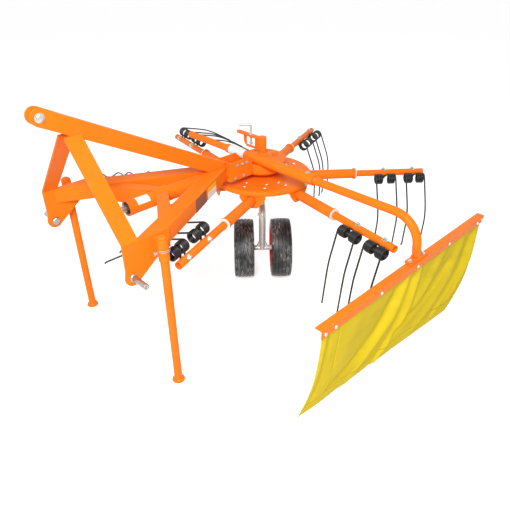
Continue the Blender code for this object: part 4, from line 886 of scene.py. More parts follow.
class RAKE_OT_rotor(bpy.types.Operator):
    """Build the rotor: dished disc, cam drum, hangers, arm sleeves with flanges, and the disc's bolts."""

    bl_idname = "rake.rotor"
    bl_label = "Rotor"

    def execute(self, context):
        disc = Shape()
        inner = DISC_RADIUS - DISC_SHEET
        under = DISC_TOP - DISC_SHEET
        profile = [(HUB_BORE, under), (HUB_BORE, HUB_TOP), (HUB_RADIUS, HUB_TOP), (HUB_RADIUS, DISC_TOP)]
        profile += [(DISC_RADIUS - LIP_ROUND * 2.4, DISC_TOP)]
        for angle in (0.0, 0.4, 0.8, 1.2, 1.57):
            profile.append((DISC_RADIUS - LIP_ROUND + LIP_ROUND * math.sin(angle),
                            DISC_TOP - LIP_ROUND + LIP_ROUND * math.cos(angle)))
        profile += [(DISC_RADIUS, DISC_TOP - DISC_LIP), (inner, DISC_TOP - DISC_LIP)]
        profile += [(inner, DISC_TOP - LIP_ROUND), (inner - LIP_ROUND + DISC_SHEET, under)]
        disc.turned(profile, 120, closed=True)
        disc.piece("rotor_disc", "orange_paint", "rotor", ["rotor_carrier"])
        drum = Shape()
        top = under - SEAT
        drum.ring([
            (HUB_BORE, top), (DRUM_RADIUS, top), (DRUM_RADIUS, DRUM_BOTTOM + DRUM_EDGE),
            (DRUM_RADIUS - DRUM_EDGE, DRUM_BOTTOM), (DRUM_BOSS, DRUM_BOTTOM),
            (DRUM_BOSS, DRUM_BOTTOM - DRUM_BOSS_DEPTH), (HUB_BORE, DRUM_BOTTOM - DRUM_BOSS_DEPTH)], 0.003, 3)
        for index in range(DRUM_BOLTS):
            spot = turn(math.tau * index / DRUM_BOLTS) @ shift(DRUM_BOLT_PLACE, 0, DRUM_BOTTOM) @ UPSIDE_DOWN
            drum.bolt(spot, *DRUM_HEAD)
        drum.piece("cam_drum", "orange_paint", "rotor")
        hangers = Shape()
        sleeves = Shape()
        flanges = Shape()
        fixings = Shape()
        for index in range(ARM_COUNT):
            along = arm_place(index) @ ALONG_X
            bore = ARM_RADIUS + SEAT
            end = SLEEVE_REACH
            sleeves.pipe(SLEEVE_RADIUS, bore, SLEEVE_INNER, end, 40, along)
            sleeves.pipe(COLLAR_RADIUS, SLEEVE_RADIUS - SEAT, end - COLLAR_LENGTH, end, 40, along, 0.002)
            flanges.pipe(FLANGE_RADIUS, bore, end, end + FLANGE_LENGTH, 40, along, 0.0012)
            heading = turn(FIRST_ARM + math.tau * index / ARM_COUNT + HANGER_TURN)
            face = heading @ shift(HANGER_REACH - HANGER_SHEET, HANGER_SHIFT, 0)
            wide = HANGER_HALF_TOP
            narrow = HANGER_HALF_BOTTOM
            outline = [(-wide, under), (-wide, HANGER_SHOULDER), (-narrow, HANGER_BOTTOM),
                       (narrow, HANGER_BOTTOM), (wide, HANGER_SHOULDER), (wide, under)]
            hangers.plate(rounded(outline, 0.014, 4, closed=True), 0, HANGER_SHEET, face @ FACING_X)
            outline = soft_oblong((-HANGER_FLANGE, -wide), (HANGER_SHEET, wide), 0.012, 3)
            hangers.plate(outline, under - HANGER_SHEET, under - SEAT, face)
            for side in (-DISC_BOLT_HALF, DISC_BOLT_HALF):
                for setback in DISC_BOLT_SETBACKS:
                    fixings.button(face @ shift(-setback, side, DISC_TOP), *DISC_BUTTON)
                    below = face @ shift(-setback, side, under - HANGER_SHEET) @ UPSIDE_DOWN
                    fixings.nut(below, *SMALL_HEAD)
        hangers.piece("arm_hangers", "orange_paint", "rotor", bevel=0.001)
        sleeves.piece("arm_sleeves", "orange_paint", "rotor")
        flanges.piece("sleeve_flanges", "pale_plastic", "rotor")
        fixings.piece("disc_bolts", "zinc_plate", "rotor", angle=30)
        return {"FINISHED"}


def spring_path(first, second, wire, splay):
    """One double tine: tip, knee, coil, bridge under the clamp, second coil, knee and tip."""
    across, up = COIL_CENTRE
    clamp = Vector((0, -ARM_RADIUS - wire))
    reach = clamp - Vector((across, up))
    bridge_angle = math.atan2(reach.y, reach.x) + math.acos(COIL_RADIUS / reach.length)
    shin = Vector(TINE_BENDS[0]) - Vector((across, up))
    tine_angle = math.atan2(shin.y, shin.x) - math.acos(COIL_RADIUS / shin.length) + math.tau
    sweep = tine_angle - bridge_angle + math.tau * (COIL_TURNS - 1)
    if sweep < math.tau * COIL_TURNS - math.pi:
        sweep += math.tau
    steps = round(COIL_STEPS * sweep / math.tau)
    half = COIL_PITCH * sweep / math.tau / 2
    halves = []
    for centre, outward in ((first, -1), (second, 1)):
        coil = []
        for step in range(steps + 1):
            angle = bridge_angle + sweep * step / steps
            along = centre + outward * half * (2 * step / steps - 1)
            coil.append(Vector((
                along, across + COIL_RADIUS * math.cos(angle), up + COIL_RADIUS * math.sin(angle))))
        bridge = [((first + second) / 2, *clamp), (centre - outward * half * 0.8, *clamp), coil[0]]
        bends = [coil[-1]]
        for kink, bend in zip(TINE_SPLAY, TINE_BENDS):
            bends.append(Vector((centre + outward * half + kink * splay, *bend)))
        halves.append(rounded(bridge, 0.012, 4)[:-1] + coil + rounded(bends, 0.075, 8)[1:])
    return list(reversed(halves[0])) + halves[1][1:]


class RAKE_OT_arms(bpy.types.Operator):
    """Build the six tine arms: open tubes, double spring tines, clamps and bolts."""

    bl_idname = "rake.arms"
    bl_label = "Tine arms"

    def execute(self, context):
        wire = context.scene.rake_sizes.wire
        tube = Shape()
        bore = ARM_RADIUS - ARM_WALL
        tube.pipe(ARM_RADIUS, bore, ARM_INNER, ARM_REACH, 40, ALONG_X)
        tube.rod(bore - SEAT, ARM_INNER, ARM_REACH - ARM_HOLLOW, 24, ALONG_X)
        springs = [Shape(), Shape()]
        fixings = Shape()
        clamps = Shape()
        length, width, depth = CLAMP_SIZE
        foot = -ARM_RADIUS - depth
        for first, second in TINE_PAIRS:
            middle = (first + second) / 2
            low, high = middle - length / 2, middle + length / 2
            for splay, shape in enumerate(springs):
                shape.swept(spring_path(first, second, wire, splay), wire, WIRE_SIDES)
            clamps.block((low, -width / 2, foot), (high, width / 2, -ARM_RADIUS - wire * 1.9))
            for sign in (-1, 1):
                edge = sign * width / 2
                clamps.block((low, edge - CLAMP_EAR, foot), (high, edge + CLAMP_EAR, -ARM_RADIUS * 0.55))
            fixings.nut(shift(middle, 0, ARM_RADIUS - 0.0012))
            fixings.bolt(shift(middle, 0, foot) @ UPSIDE_DOWN)
        tube_mesh = tube.mesh("arm_tube")
        spring_meshes = [shape.mesh("arm_springs", 60) for shape in springs]
        clamp_mesh = clamps.mesh("arm_clamps")
        fixing_mesh = fixings.mesh("arm_fixings", 30)
        for index in range(ARM_COUNT):
            lifted = index in LIFTED_ARMS
            world = HOME @ arm_place(index, LIFT_ANGLE if lifted else 0.0)
            label = index + 1
            place_piece(f"arm_springs_{label}", spring_meshes[0 if lifted else 1], "black_spring", "rotor",
                        [f"tine_arm_{label}"], world=world)
            place_piece(f"arm_tube_{label}", tube_mesh, "orange_paint", "rotor", world=world)
            place_piece(f"arm_clamps_{label}", clamp_mesh, "black_spring", "rotor", world=world, bevel=0.001)
            place_piece(f"arm_fixings_{label}", fixing_mesh, "zinc_plate", "rotor", world=world)
        return {"FINISHED"}


class RAKE_OT_gearbox(bpy.types.Operator):
    """Build the gear housing with its neck and bosses, the post, the lever's finish and the lock pin."""

    bl_idname = "rake.gearbox"
    bl_label = "Gearbox and post"

    def execute(self, context):
        housing = Shape()
        bore = POST_RADIUS + SEAT
        crown = HOUSING_CROWN_RADIUS
        housing.ring([
            (bore, HUB_TOP + SEAT), (BEARING_RADIUS, HUB_TOP + SEAT), (BEARING_RADIUS, HOUSING_BOTTOM),
            (HOUSING_FOOT_RADIUS, HOUSING_BOTTOM), (HOUSING_FOOT_RADIUS, HOUSING_FLARE),
            (HOUSING_RADIUS, HOUSING_FLARE), (HOUSING_RADIUS, HOUSING_SHOULDER), (crown, HOUSING_SHOULDER),
            (crown - 0.008, HOUSING_TOP), (bore, HOUSING_TOP)], 0.006, 4)
        socket = BOSS_HEIGHT - BOSS_SOCKET_DEPTH
        boss = rounded([
            (0, -0.004), (BOSS_RADIUS, -0.004), (BOSS_RADIUS * 0.94, BOSS_HEIGHT),
            (BOSS_RADIUS * 0.45, BOSS_HEIGHT), (BOSS_RADIUS * 0.40, socket), (0, socket)], 0.003, 3)
        for index in range(BOSS_COUNT - 1):
            spot = turn(FIRST_BOSS + math.tau * index / BOSS_COUNT) @ shift(BOSS_PLACE, 0, HOUSING_SHOULDER)
            housing.turned(boss, 32, spot)
        housing.piece("gear_housing", "orange_paint", "frame", ["gearbox"])
        neck = Shape()
        outline = soft_oblong((-NECK_HALF, NECK_BOTTOM), (NECK_HALF, NECK_TOP), 0.012, 4)
        neck.plate(outline, NECK_ROOT, NECK_FRONT, FACING_FRONT)
        neck.piece("gearbox_neck", "orange_paint", "frame", bevel=0.002)
        post = Shape()
        ceiling = POST_BOTTOM + SOCKET_DEPTH
        post.turned(rounded([
            (0, ceiling), (SOCKET_RADIUS, ceiling), (SOCKET_RADIUS, POST_BOTTOM), (POST_RADIUS, POST_BOTTOM),
            (POST_RADIUS, HOUSING_TOP), (POST_UPPER_RADIUS, HOUSING_TOP + SEAT),
            (POST_UPPER_RADIUS, POST_TOP), (0, POST_TOP)], 0.0022, 3), 64)
        post.piece("upright_post", "orange_paint", "frame", ["centre_post"])
        foot = Shape()
        inner = POST_RADIUS - 0.001
        foot.ring([
            (inner, HOUSING_TOP - 0.002), (POST_FOOT_RADIUS, HOUSING_TOP - 0.002),
            (POST_FOOT_RADIUS, HOUSING_TOP + 0.005), (POST_RADIUS + 0.004, HOUSING_TOP + 0.007),
            (inner, HOUSING_TOP + POST_FOOT_HEIGHT)], 0.003, 3, 64)
        foot.piece("post_foot", "orange_paint", "frame")
        dress("lock_lever", "orange_paint")
        self.lock_pin()
        return {"FINISHED"}

    def lock_pin(self):
        """Bent pin through the lever, with two collars and a spring clip at its foot."""
        pin = Shape()
        heading = Vector((math.cos(PIN_HEADING), math.sin(PIN_HEADING), 0))
        corner = Vector((PIN_PLACE, 0, PIN_TOP))
        path = rounded([Vector((PIN_PLACE, 0, PIN_BOTTOM)), corner, corner + heading * PIN_HANDLE], 0.018, 8)
        pin.swept(path, PIN_RADIUS, 20)
        axis = shift(PIN_PLACE, 0, 0)
        pin.pipe(0.0130, PIN_RADIUS, LEVER_TOP + SEAT, LEVER_TOP + 0.003, 28, axis)
        pin.pipe(0.0135, PIN_RADIUS, PIN_BOTTOM + 0.008, PIN_BOTTOM + 0.0105, 28, axis)
        height = PIN_BOTTOM + CLIP_HEIGHT
        clip = [(PIN_PLACE + 0.010 + x, y, height) for x, y in arc(CLIP_RADIUS, -CLIP_ANGLE, CLIP_ANGLE, 20)]
        pin.swept(clip, CLIP_WIRE, 8)
        pin.swept([(PIN_PLACE - 0.012, 0, height), (PIN_PLACE + 0.012, 0, height)], CLIP_WIRE, 8)
        pin.piece("bent_lock_pin", "dull_zinc", "frame", ["lock_pin"])


class RAKE_OT_drive(bpy.types.Operator):
    """Build the drive's housing tube with its front ring and liner, and the splined stub."""

    bl_idname = "rake.drive"
    bl_label = "Drive"

    def execute(self, context):
        tube = Shape()
        floor = DRIVE_FRONT + DRIVE_POCKET
        rear = -NECK_FRONT - SEAT
        place = shift(0, 0, DRIVE_HEIGHT) @ ALONG_Y
        bore = STUB_RADIUS + 0.001
        tube.ring([(bore, floor), (DRIVE_INNER, floor), (DRIVE_INNER, DRIVE_FRONT),
                   (DRIVE_RADIUS, DRIVE_FRONT), (DRIVE_RADIUS, rear), (bore, rear)], 0.0012, 3, 72, place)
        low = DRIVE_FRONT + 0.0004
        high = DRIVE_FRONT + DRIVE_RING_LENGTH
        inner, outer = DRIVE_RADIUS - 0.001, DRIVE_RADIUS + 0.0016
        tube.ring([(inner, low), (outer, low), (outer, high), (inner, high)], 0.0008, 2, 72, place)
        tube.piece("drive_housing_tube", "orange_paint", "frame", ["drive_tube"])
        liner = Shape()
        liner.pipe(DRIVE_INNER - SEAT, DRIVE_INNER - 0.003, DRIVE_FRONT + 0.004, floor - SEAT, 64, place)
        liner.piece("drive_liner", "bright_steel", "frame")
        stub = Shape()
        outline = []
        for index in range(STUB_SPLINES):
            for radius, share in STUB_TOOTH:
                angle = math.tau * (index + share) / STUB_SPLINES
                outline.append((radius * math.cos(angle), radius * math.sin(angle)))
        tip = DRIVE_FRONT - STUB_REACH
        stub.plate(outline, tip, DRIVE_FRONT + 0.030, place)
        stub.turned(rounded([
            (0, DRIVE_FRONT + 0.018), (STUB_RADIUS + 0.002, DRIVE_FRONT + 0.022),
            (STUB_RADIUS + 0.004, DRIVE_FRONT + 0.044), (STUB_FLANGE - 0.003, DRIVE_FRONT + 0.047),
            (STUB_FLANGE - 0.003, floor - SEAT), (STUB_RADIUS, floor - SEAT), (STUB_RADIUS, floor + 0.028),
            (0, floor + 0.028)], 0.001, 2), 64, place)
        centre = [(0, tip - 0.0002), (0.005, tip - 0.0002), (0.003, tip + 0.004), (0, tip + 0.004)]
        stub.turned(centre, 24, place)
        stub.piece("drive_stub", "bright_steel", "input", ["input_shaft"], bevel=0.0006)
        return {"FINISHED"}


def beam_face(forward, depth):
    """Place on the left beam's outer side: forward of the rotor's axis, depth below the beam's top."""
    x = BEAM_REAR_HALF + (forward - BEAM_REAR) * math.tan(BEAM_ANGLE)
    return shift(x, -forward, BEAM_TOP - depth) @ turn(BEAM_ANGLE)


class RAKE_OT_frame(bpy.types.Operator):
    """Finish beams, bracket, cheeks and mast, and build the cross member, bolts and link pins."""

    bl_idname = "rake.frame"
    bl_label = "Frame and hitch"

    def execute(self, context):
        for node in ("frame_beam_left", "frame_beam_right", "gearbox_mount", "hitch_cheek_left",
                     "hitch_cheek_right", "mast_brace", "mast_upright_left", "mast_upright_right"):
            dress(node, "orange_paint")
        self.cross_member()
        bolts = Shape()
        outer = NECK_HALF + SEAT + BRACKET_SHEET
        for turned, sign in ((BACK_X, -1), (ALONG_X, 1)):
            for y, z in BRACKET_BOLTS:
                bolts.bolt(shift(sign * outer, y, z) @ turned, *BRACKET_HEAD)
        bolts.piece("bracket_bolts", "zinc_plate", "frame", angle=30)
        for side, sign in (("left", 1), ("right", -1)):
            self.link_pin(side, shift(sign * CHEEK_OUTER, *HITCH_PIN) @ (ALONG_X if sign > 0 else BACK_X))
        top = Shape()
        place = shift(0, *TOP_PIN) @ ALONG_X
        top.rod(TOP_PIN_RADIUS, -BRACE_HALF - 0.010, BRACE_HALF + 0.016, 32, place)
        top.bolt(place @ shift(0, 0, -BRACE_HALF - SEAT) @ UPSIDE_DOWN, *TOP_PIN_HEAD)
        top.bolt(place @ shift(0, 0, BRACE_HALF + SEAT), *TOP_PIN_HEAD)
        top.piece("top_pin", "zinc_plate", "frame", ["top_link_pin"], angle=30)
        return {"FINISHED"}

    def link_pin(self, side, place):
        """Lower link pin with its collar outside the cheek and its nut inside."""
        pin = Shape()
        radius = HITCH_PIN_RADIUS
        end = HITCH_PIN_LENGTH
        pin.turned(rounded([(0, -CHEEK_THICK), (radius, -CHEEK_THICK), (radius, end), (0.0045, end),
                            (0.0030, end - 0.006), (0, end - 0.007)], 0.0024, 3), 48, place)
        pin.ring([(radius - 0.001, SEAT), (radius + 0.006, SEAT), (radius + 0.0035, 0.004),
                  (radius - 0.001, 0.007)], 0.001, 2, 48, place)
        back = -CHEEK_THICK - SEAT
        nut = [(0, back - 0.016), (0.017, back - 0.016), (0.021, back - 0.012), (0.021, back), (0, back)]
        pin.turned(nut, 6, place)
        pin.rod(radius - 0.001, back - 0.0155, back - 0.001, 32, place)
        pin.piece(f"link_pin_{side}", "bright_steel", "frame", [f"hitch_pin_{side}"])

    def cross_member(self):
        """Bent cross member from beam to beam over the drive tube, with a strap round the tube."""
        cross = Shape()
        lean = math.tan(BEAM_ANGLE)
        root = BEAM_REAR_HALF - BEAM_WIDTH / math.cos(BEAM_ANGLE) - SEAT
        ends = []
        for forward, slope in ((CROSS_FRONT, CROSS_FRONT_SLOPE), (CROSS_REAR, CROSS_REAR_SLOPE)):
            reach = (root + (forward - BEAM_REAR) * lean) / (1 - slope * lean)
            ends.append((reach, -forward - slope * reach))
        front, rear = ends
        bottom = CROSS_TOP - CROSS_HEIGHT
        half = CROSS_SHEET / 2
        start = (CROSS_INNER, -CROSS_FRONT - CROSS_FRONT_SLOPE * CROSS_INNER)
        stop = (CROSS_INNER, -CROSS_REAR - CROSS_REAR_SLOPE * CROSS_INNER)
        near = (CROSS_FACE_INNER, -CROSS_FRONT - CROSS_FRONT_SLOPE * CROSS_FACE_INNER)
        back = CROSS_SHEET * math.hypot(1, CROSS_FRONT_SLOPE)
        flange = [start, front, rear, stop]
        face = [near, front, (front[0] - CROSS_SHEET * lean, front[1] + back), (near[0], near[1] + back)]
        sole = [near, front, (rear[0] - CROSS_SOLE * lean, rear[1] + CROSS_SOLE),
                (near[0], -CROSS_REAR + CROSS_SOLE)]
        for sign in (-1, 1):
            for outline, low, high in (
                    (flange, CROSS_TOP - CROSS_SHEET, CROSS_TOP),
                    (face, bottom, CROSS_TOP - half),
                    (sole, bottom - half, bottom + half)):
                cross.plate([(sign * x, y) for x, y in outline], low, high)
        inner = DRIVE_RADIUS + SEAT
        low, high = STRAP_ANGLES
        strap = arc(inner + STRAP_SHEET, low, high, 32) + arc(inner, high, low, 32)
        cross.plate(strap, start[1], -CROSS_REAR, shift(0, 0, DRIVE_HEIGHT) @ ALONG_Y)
        cross.piece("cross_member", "orange_paint", "frame", ["saddle_plate"], bevel=0.0012)


class RAKE_OT_caster(bpy.types.Operator):
    """Build the caster's bent leg, its axle and the twin wheels."""

    bl_idname = "rake.caster"
    bl_label = "Caster and wheels"

    def execute(self, context):
        base = turn(CASTER_HEADING)
        hub = base @ shift(CASTER_TRAIL, 0, WHEEL_RADIUS)
        leg = Shape()
        centre = LEG_TOP - LEG_RADIUS - CASTER_TRAIL
        path = [(CASTER_TRAIL, 0, WHEEL_RADIUS)]
        path += [(x, 0, centre + z) for x, z in arc(CASTER_TRAIL, 0, math.pi / 2, 16)]
        path.append((-STEM_RADIUS, 0, LEG_TOP - LEG_RADIUS))
        leg.swept(path, LEG_RADIUS, 48, base)
        leg.rod(STEM_RADIUS, LEG_TOP - LEG_RADIUS, STEM_TOP, 48)
        half = TYRE_SPACING / 2 - HUB_LENGTH / 2 - SEAT
        axle_place = hub @ ALONG_Y
        leg.pipe(AXLE_TUBE_RADIUS, AXLE_RADIUS + SEAT, -half, half, 40, axle_place)
        for sign in (-1, 1):
            gusset = [(sign * (LEG_RADIUS + across), height) for across, height in GUSSET]
            leg.plate(gusset, -0.008, 0.008, hub @ FACING_X)
        stop = base @ shift(CASTER_TRAIL * 0.6, -LEG_RADIUS + 0.002, LEG_TOP - 0.055)
        leg.bolt(stop @ turn(math.pi / 2, "X"), *STOP_HEAD)
        leg.piece("bent_caster_leg", "dull_zinc", "caster", ["caster_leg"])
        hub_end = TYRE_SPACING / 2 + HUB_LENGTH / 2 + SEAT
        axle = Shape()
        axle.rod(AXLE_RADIUS, -hub_end - 0.014, hub_end + 0.023, 32, axle_place)
        axle.bolt(axle_place @ shift(0, 0, -hub_end) @ UPSIDE_DOWN, *AXLE_HEAD)
        axle.bolt(axle_place @ shift(0, 0, hub_end), *AXLE_HEAD)
        axle.piece("axle_bolt", "zinc_plate", "caster", ["wheel_axle"], angle=30)
        for side, sign in (("left", 1), ("right", -1)):
            place = axle_place @ shift(0, 0, sign * TYRE_SPACING / 2)
            self.tyre(context.scene.rake_sizes, side, place)
            self.rim(side, place, sign)
        return {"FINISHED"}

    def tyre(self, sizes, side, place):
        """Tyre with a crowned, grooved tread, round shoulders and ribbed side walls."""
        half = TYRE_WIDTH / 2
        tread_half = half * 0.90
        pitch = 2 * tread_half / sizes.groove_count
        outline = []
        for index in range(sizes.groove_count):
            centre = -tread_half + pitch * (index + 0.5)
            for share, depth in ((-0.5, 0), (-0.13, 0), (-0.09, 1), (0.09, 1), (0.13, 0)):
                across = centre + pitch * share
                crown = WHEEL_RADIUS - TYRE_CROWN * (across / tread_half) ** 2
                outline.append((crown - sizes.groove * depth, across))
        outline.append((WHEEL_RADIUS - TYRE_CROWN, tread_half))
        wall = [(WHEEL_RADIUS - inward, half * share) for inward, share in TYRE_WALL]
        wall += [(TYRE_BEAD + 0.011, half * 0.96), (TYRE_BEAD + 0.010, half * (BEAD_SHARE + 0.01)),
                 (TYRE_BEAD, half * BEAD_SHARE)]
        outline = [(radius, -across) for radius, across in reversed(wall)] + outline + wall
        tyre = Shape()
        tyre.turned(outline, 96, place, closed=True)
        tyre.piece(f"ribbed_tyre_{side}", "tyre_rubber", "wheels", [f"tyre_{side}"], angle=50)

    def rim(self, side, place, sign):
        """Pressed rim with rolled flanges, a dished web, a hub tube and a ring of bolts."""
        seat = TYRE_BEAD - SEAT
        edge = TYRE_WIDTH / 2 * BEAD_SHARE
        dish = sign * RIM_DISH
        rim = Shape()
        barrel = [(seat + 0.008, edge), (seat + 0.009, edge + 0.004), (seat + 0.006, edge + 0.006),
                  (seat - 0.003, edge + 0.003), (seat - 0.004, edge - 0.004), (seat - 0.012, 0.022)]
        inner = [(radius, -across) for radius, across in reversed(barrel)]
        outer = [(seat - 0.009, -0.020), (seat - 0.001, -edge + 0.004), (seat, -edge + 0.001),
                 (seat, edge - 0.001), (seat - 0.001, edge - 0.004), (seat - 0.009, 0.020)]
        rim.turned(barrel + inner + outer, 96, place, closed=True)
        root = HUB_RADIUS_WHEEL - 0.002
        rim.ring([(root, dish - 0.003), (0.060, dish - 0.003), (0.072, -0.002), (seat - 0.010, -0.002),
                  (seat - 0.010, 0.002), (0.070, 0.002), (0.058, dish + 0.003), (root, dish + 0.003)],
                 0.003, 2, place=place)
        rim.pipe(HUB_RADIUS_WHEEL, AXLE_RADIUS + SEAT, -HUB_LENGTH / 2, HUB_LENGTH / 2, 48, place)
        rim.piece(f"pressed_rim_{side}", "red_rim", "wheels", [f"rim_{side}"])
        bolts = Shape()
        for index in range(RIM_BOLTS):
            spot = place @ turn(math.tau * index / RIM_BOLTS)
            bolts.bolt(spot @ shift(RIM_BOLT_PLACE, 0, dish - 0.003) @ UPSIDE_DOWN, *SMALL_HEAD)
            bolts.bolt(spot @ shift(RIM_BOLT_PLACE, 0, dish + 0.003), *SMALL_HEAD)
        valve = place @ turn(VALVE_PLACE) @ shift(seat - 0.016, 0, sign * 0.004)
        bolts.rod(0.0035, 0, 0.024, 16, valve @ turn(sign * VALVE_LEAN, "Y"), 0.0008)
        bolts.piece(f"rim_bolts_{side}", "zinc_plate", "wheels", angle=30)


class RAKE_OT_boom(bpy.types.Operator):
    """Build the boom tube, its sleeve with the clamp bolts, and the curtain bar's finish and bolts."""

    bl_idname = "rake.boom"
    bl_label = "Boom and bar"

    def execute(self, context):
        sleeve = Shape()
        low, high = BOOM_SLEEVE_SPAN
        along = shift(0, BOOM_Y, BOOM_HEIGHT) @ ALONG_X
        bore = BOOM_RADIUS + SEAT
        sleeve.ring([
            (BOOM_COLLAR_RADIUS, low), (BOOM_COLLAR_RADIUS, BOOM_COLLAR_END),
            (BOOM_SLEEVE_RADIUS, BOOM_COLLAR_END + 0.001), (BOOM_SLEEVE_RADIUS, high), (bore, high),
            (bore, low)], 0.0015, 2, 64, along)
        sleeve.piece("boom_holder", "orange_paint", "frame", ["boom_sleeve"])
        clamp = Shape()
        lock = shift(BOOM_LOCK_PLACE, BOOM_Y, BOOM_HEIGHT)
        rise = shift(0, 0, BOOM_SLEEVE_RADIUS - 0.001)
        clamp.bolt(lock @ rise, *CLAMP_HEAD)
        clamp.nut(lock @ UPSIDE_DOWN @ rise, *CLAMP_NUT)
        clamp.piece("boom_clamp_bolts", "zinc_plate", "frame", angle=30)
        width, length, thick = END_PLATE
        foot_top = BAR_TOP + SEAT + thick
        foot_x, foot_y = BOOM_FOOT
        foot_place = shift(foot_x, foot_y, 0)
        tube = Shape()
        path = [(BOOM_RIGHT, BOOM_Y, BOOM_HEIGHT)]
        path += [(BOOM_END - BOOM_BEND + x, BOOM_Y, BOOM_HEIGHT - BOOM_BEND + z)
                 for x, z in arc(BOOM_BEND, math.pi / 2, 0, 24)]
        path.append((foot_x, foot_y, foot_top - 0.001))
        tube.swept(path, BOOM_RADIUS, 48)
        tube.piece("boom_pipe", "orange_paint", "boom", ["boom_tube"])
        seam = Shape()
        inner = BOOM_RADIUS - 0.001
        seam.ring([(inner, foot_top + 0.007), (BOOM_RADIUS + 0.002, foot_top + 0.005),
                   (BOOM_RADIUS + 0.007, foot_top), (inner, foot_top)], 0.001, 2, 48, foot_place)
        seam.rod(inner, -0.003, 0.0005, 40, shift(BOOM_RIGHT, BOOM_Y, BOOM_HEIGHT) @ ALONG_X)
        seam.piece("boom_seam", "orange_paint", "boom")
        foot = Shape()
        outline = soft_oblong((-width / 2, -length / 2), (width / 2, length / 2), 0.010, 4)
        foot.plate(outline, foot_top - thick, foot_top, foot_place)
        foot.piece("boom_foot", "orange_paint", "boom", bevel=0.001)
        dress("curtain_bar", "orange_paint", 0.001)
        bolts = Shape()
        for sign in (-1, 1):
            bolts.nut(shift(foot_x, foot_y + sign * FOOT_BOLT_HALF, foot_top), *FOOT_NUT)
        face = BAR_INNER + BAR_FLANGE
        height = BAR_TOP - BAR_BOLT_DROP
        for y in BAR_BOLTS:
            bolts.button(shift(face, y, height) @ ALONG_X, *BAR_BUTTON)
            bolts.bolt(shift(face - BAR_THICK - 0.003, y, height) @ BACK_X, *BAR_HEAD)
        bolts.piece("bar_bolts", "zinc_plate", "boom", angle=30)
        return {"FINISHED"}


def line_gap(y, z, line):
    """Distance from a point to a line of points."""
    best = math.inf
    for (y1, z1), (y2, z2) in zip(line, line[1:]):
        run, rise = y2 - y1, z2 - z1
        share = ((y - y1) * run + (z - z1) * rise) / (run * run + rise * rise)
        share = min(1, max(0, share))
        best = min(best, math.hypot(y - y1 - share * run, z - z1 - share * rise))
    return best


def with_line(count, place, gap):
    """Even shares from 0 to 1, with closer ones round one place."""
    shares = [step / count for step in range(count + 1)]
    shares = [share for share in shares if abs(share - place) > 2.6 * gap]
    return sorted(shares + [place + gap * step for step in (-2, -1, 0, 1, 2)])


class RAKE_OT_curtain(bpy.types.Operator):
    """Hang the curtain: a cut sheet with slanting folds, a sewn hem and a seam."""

    bl_idname = "rake.curtain"
    bl_label = "Curtain"

    def execute(self, context):
        sizes = context.scene.rake_sizes
        top = BAR_TOP - BAR_THICK - SEAT
        front = BAR_SPAN[0] + CURTAIN_MARGIN
        width = BAR_SPAN[1] - CURTAIN_MARGIN - front
        length = top - CURTAIN_BOTTOM
        hem = 1 - CURTAIN_HEM / length
        seam = (CURTAIN_SEAM - front) / width
        drops = with_line(CURTAIN_ROWS, hem, STITCH_HALF / length)
        shares = with_line(CURTAIN_COLUMNS, seam, STITCH_HALF / width)
        bm = bmesh.new()
        grid = []
        for drop in drops:
            line = []
            for share in shares:
                y = front + width * share
                z = top - length * drop
                sewn = max(math.exp(-((drop - hem) * length / STITCH_HALF) ** 2),
                           math.exp(-((share - seam) * width / STITCH_HALF) ** 2))
                double = HEM_CLOTH if drop > hem else 0
                lean = CURTAIN_LEAN * drop ** 2 * (1 - share)
                x = CURTAIN_PLANE - lean + self.folds(sizes, drop, share, y, z) + double - sizes.stitch * sewn
                cut = CURTAIN_CUT * drop ** CURTAIN_CUT_POWER * share
                low = max(0, (drop - CURTAIN_TIP_START) / (1 - CURTAIN_TIP_START))
                tip = CURTAIN_TIP * low ** 2 * (1 - share) ** 3
                line.append(bm.verts.new(HOME @ Vector((x, y - cut - tip, z))))
            grid.append(line)
        for upper, lower in zip(grid, grid[1:]):
            for column in range(len(shares) - 1):
                bm.faces.new((upper[column], lower[column], lower[column + 1], upper[column + 1]))
        mesh = bpy.data.meshes.new("hung_curtain")
        bm.to_mesh(mesh)
        bm.free()
        mesh.shade_smooth()
        item = place_piece("hung_curtain", mesh, "yellow_cloth", "boom", ["curtain"])
        thick = item.modifiers.new("thickness", "SOLIDIFY")
        thick.thickness = CURTAIN_THICK
        thick.offset = 0
        return {"FINISHED"}

    def folds(self, sizes, drop, share, y, z):
        """How far the cloth stands out: broad waves and slanting folds, flat at the bar and calm low down."""
        free = min(1, drop / CURTAIN_FREE)
        free = free * free * (3 - 2 * free)
        wave = math.sin(math.tau * (share * 2.6 + drop * 0.9 + 0.15)) * 0.6
        wave += math.sin(math.tau * (share * 9.7 + drop * 2.1)) * 0.2
        out = sizes.fold * (wave - 0.7) * 0.5
        for fold, reach, depth in CURTAIN_FOLDS:
            out += FOLD_GAIN * depth * math.exp(-(line_gap(y, z, fold) / reach) ** 2)
        low = max(0, (drop - CURTAIN_CALM_START) / (1 - CURTAIN_CALM_START))
        return out * free * (1 - CURTAIN_CALM * low ** 1.5)


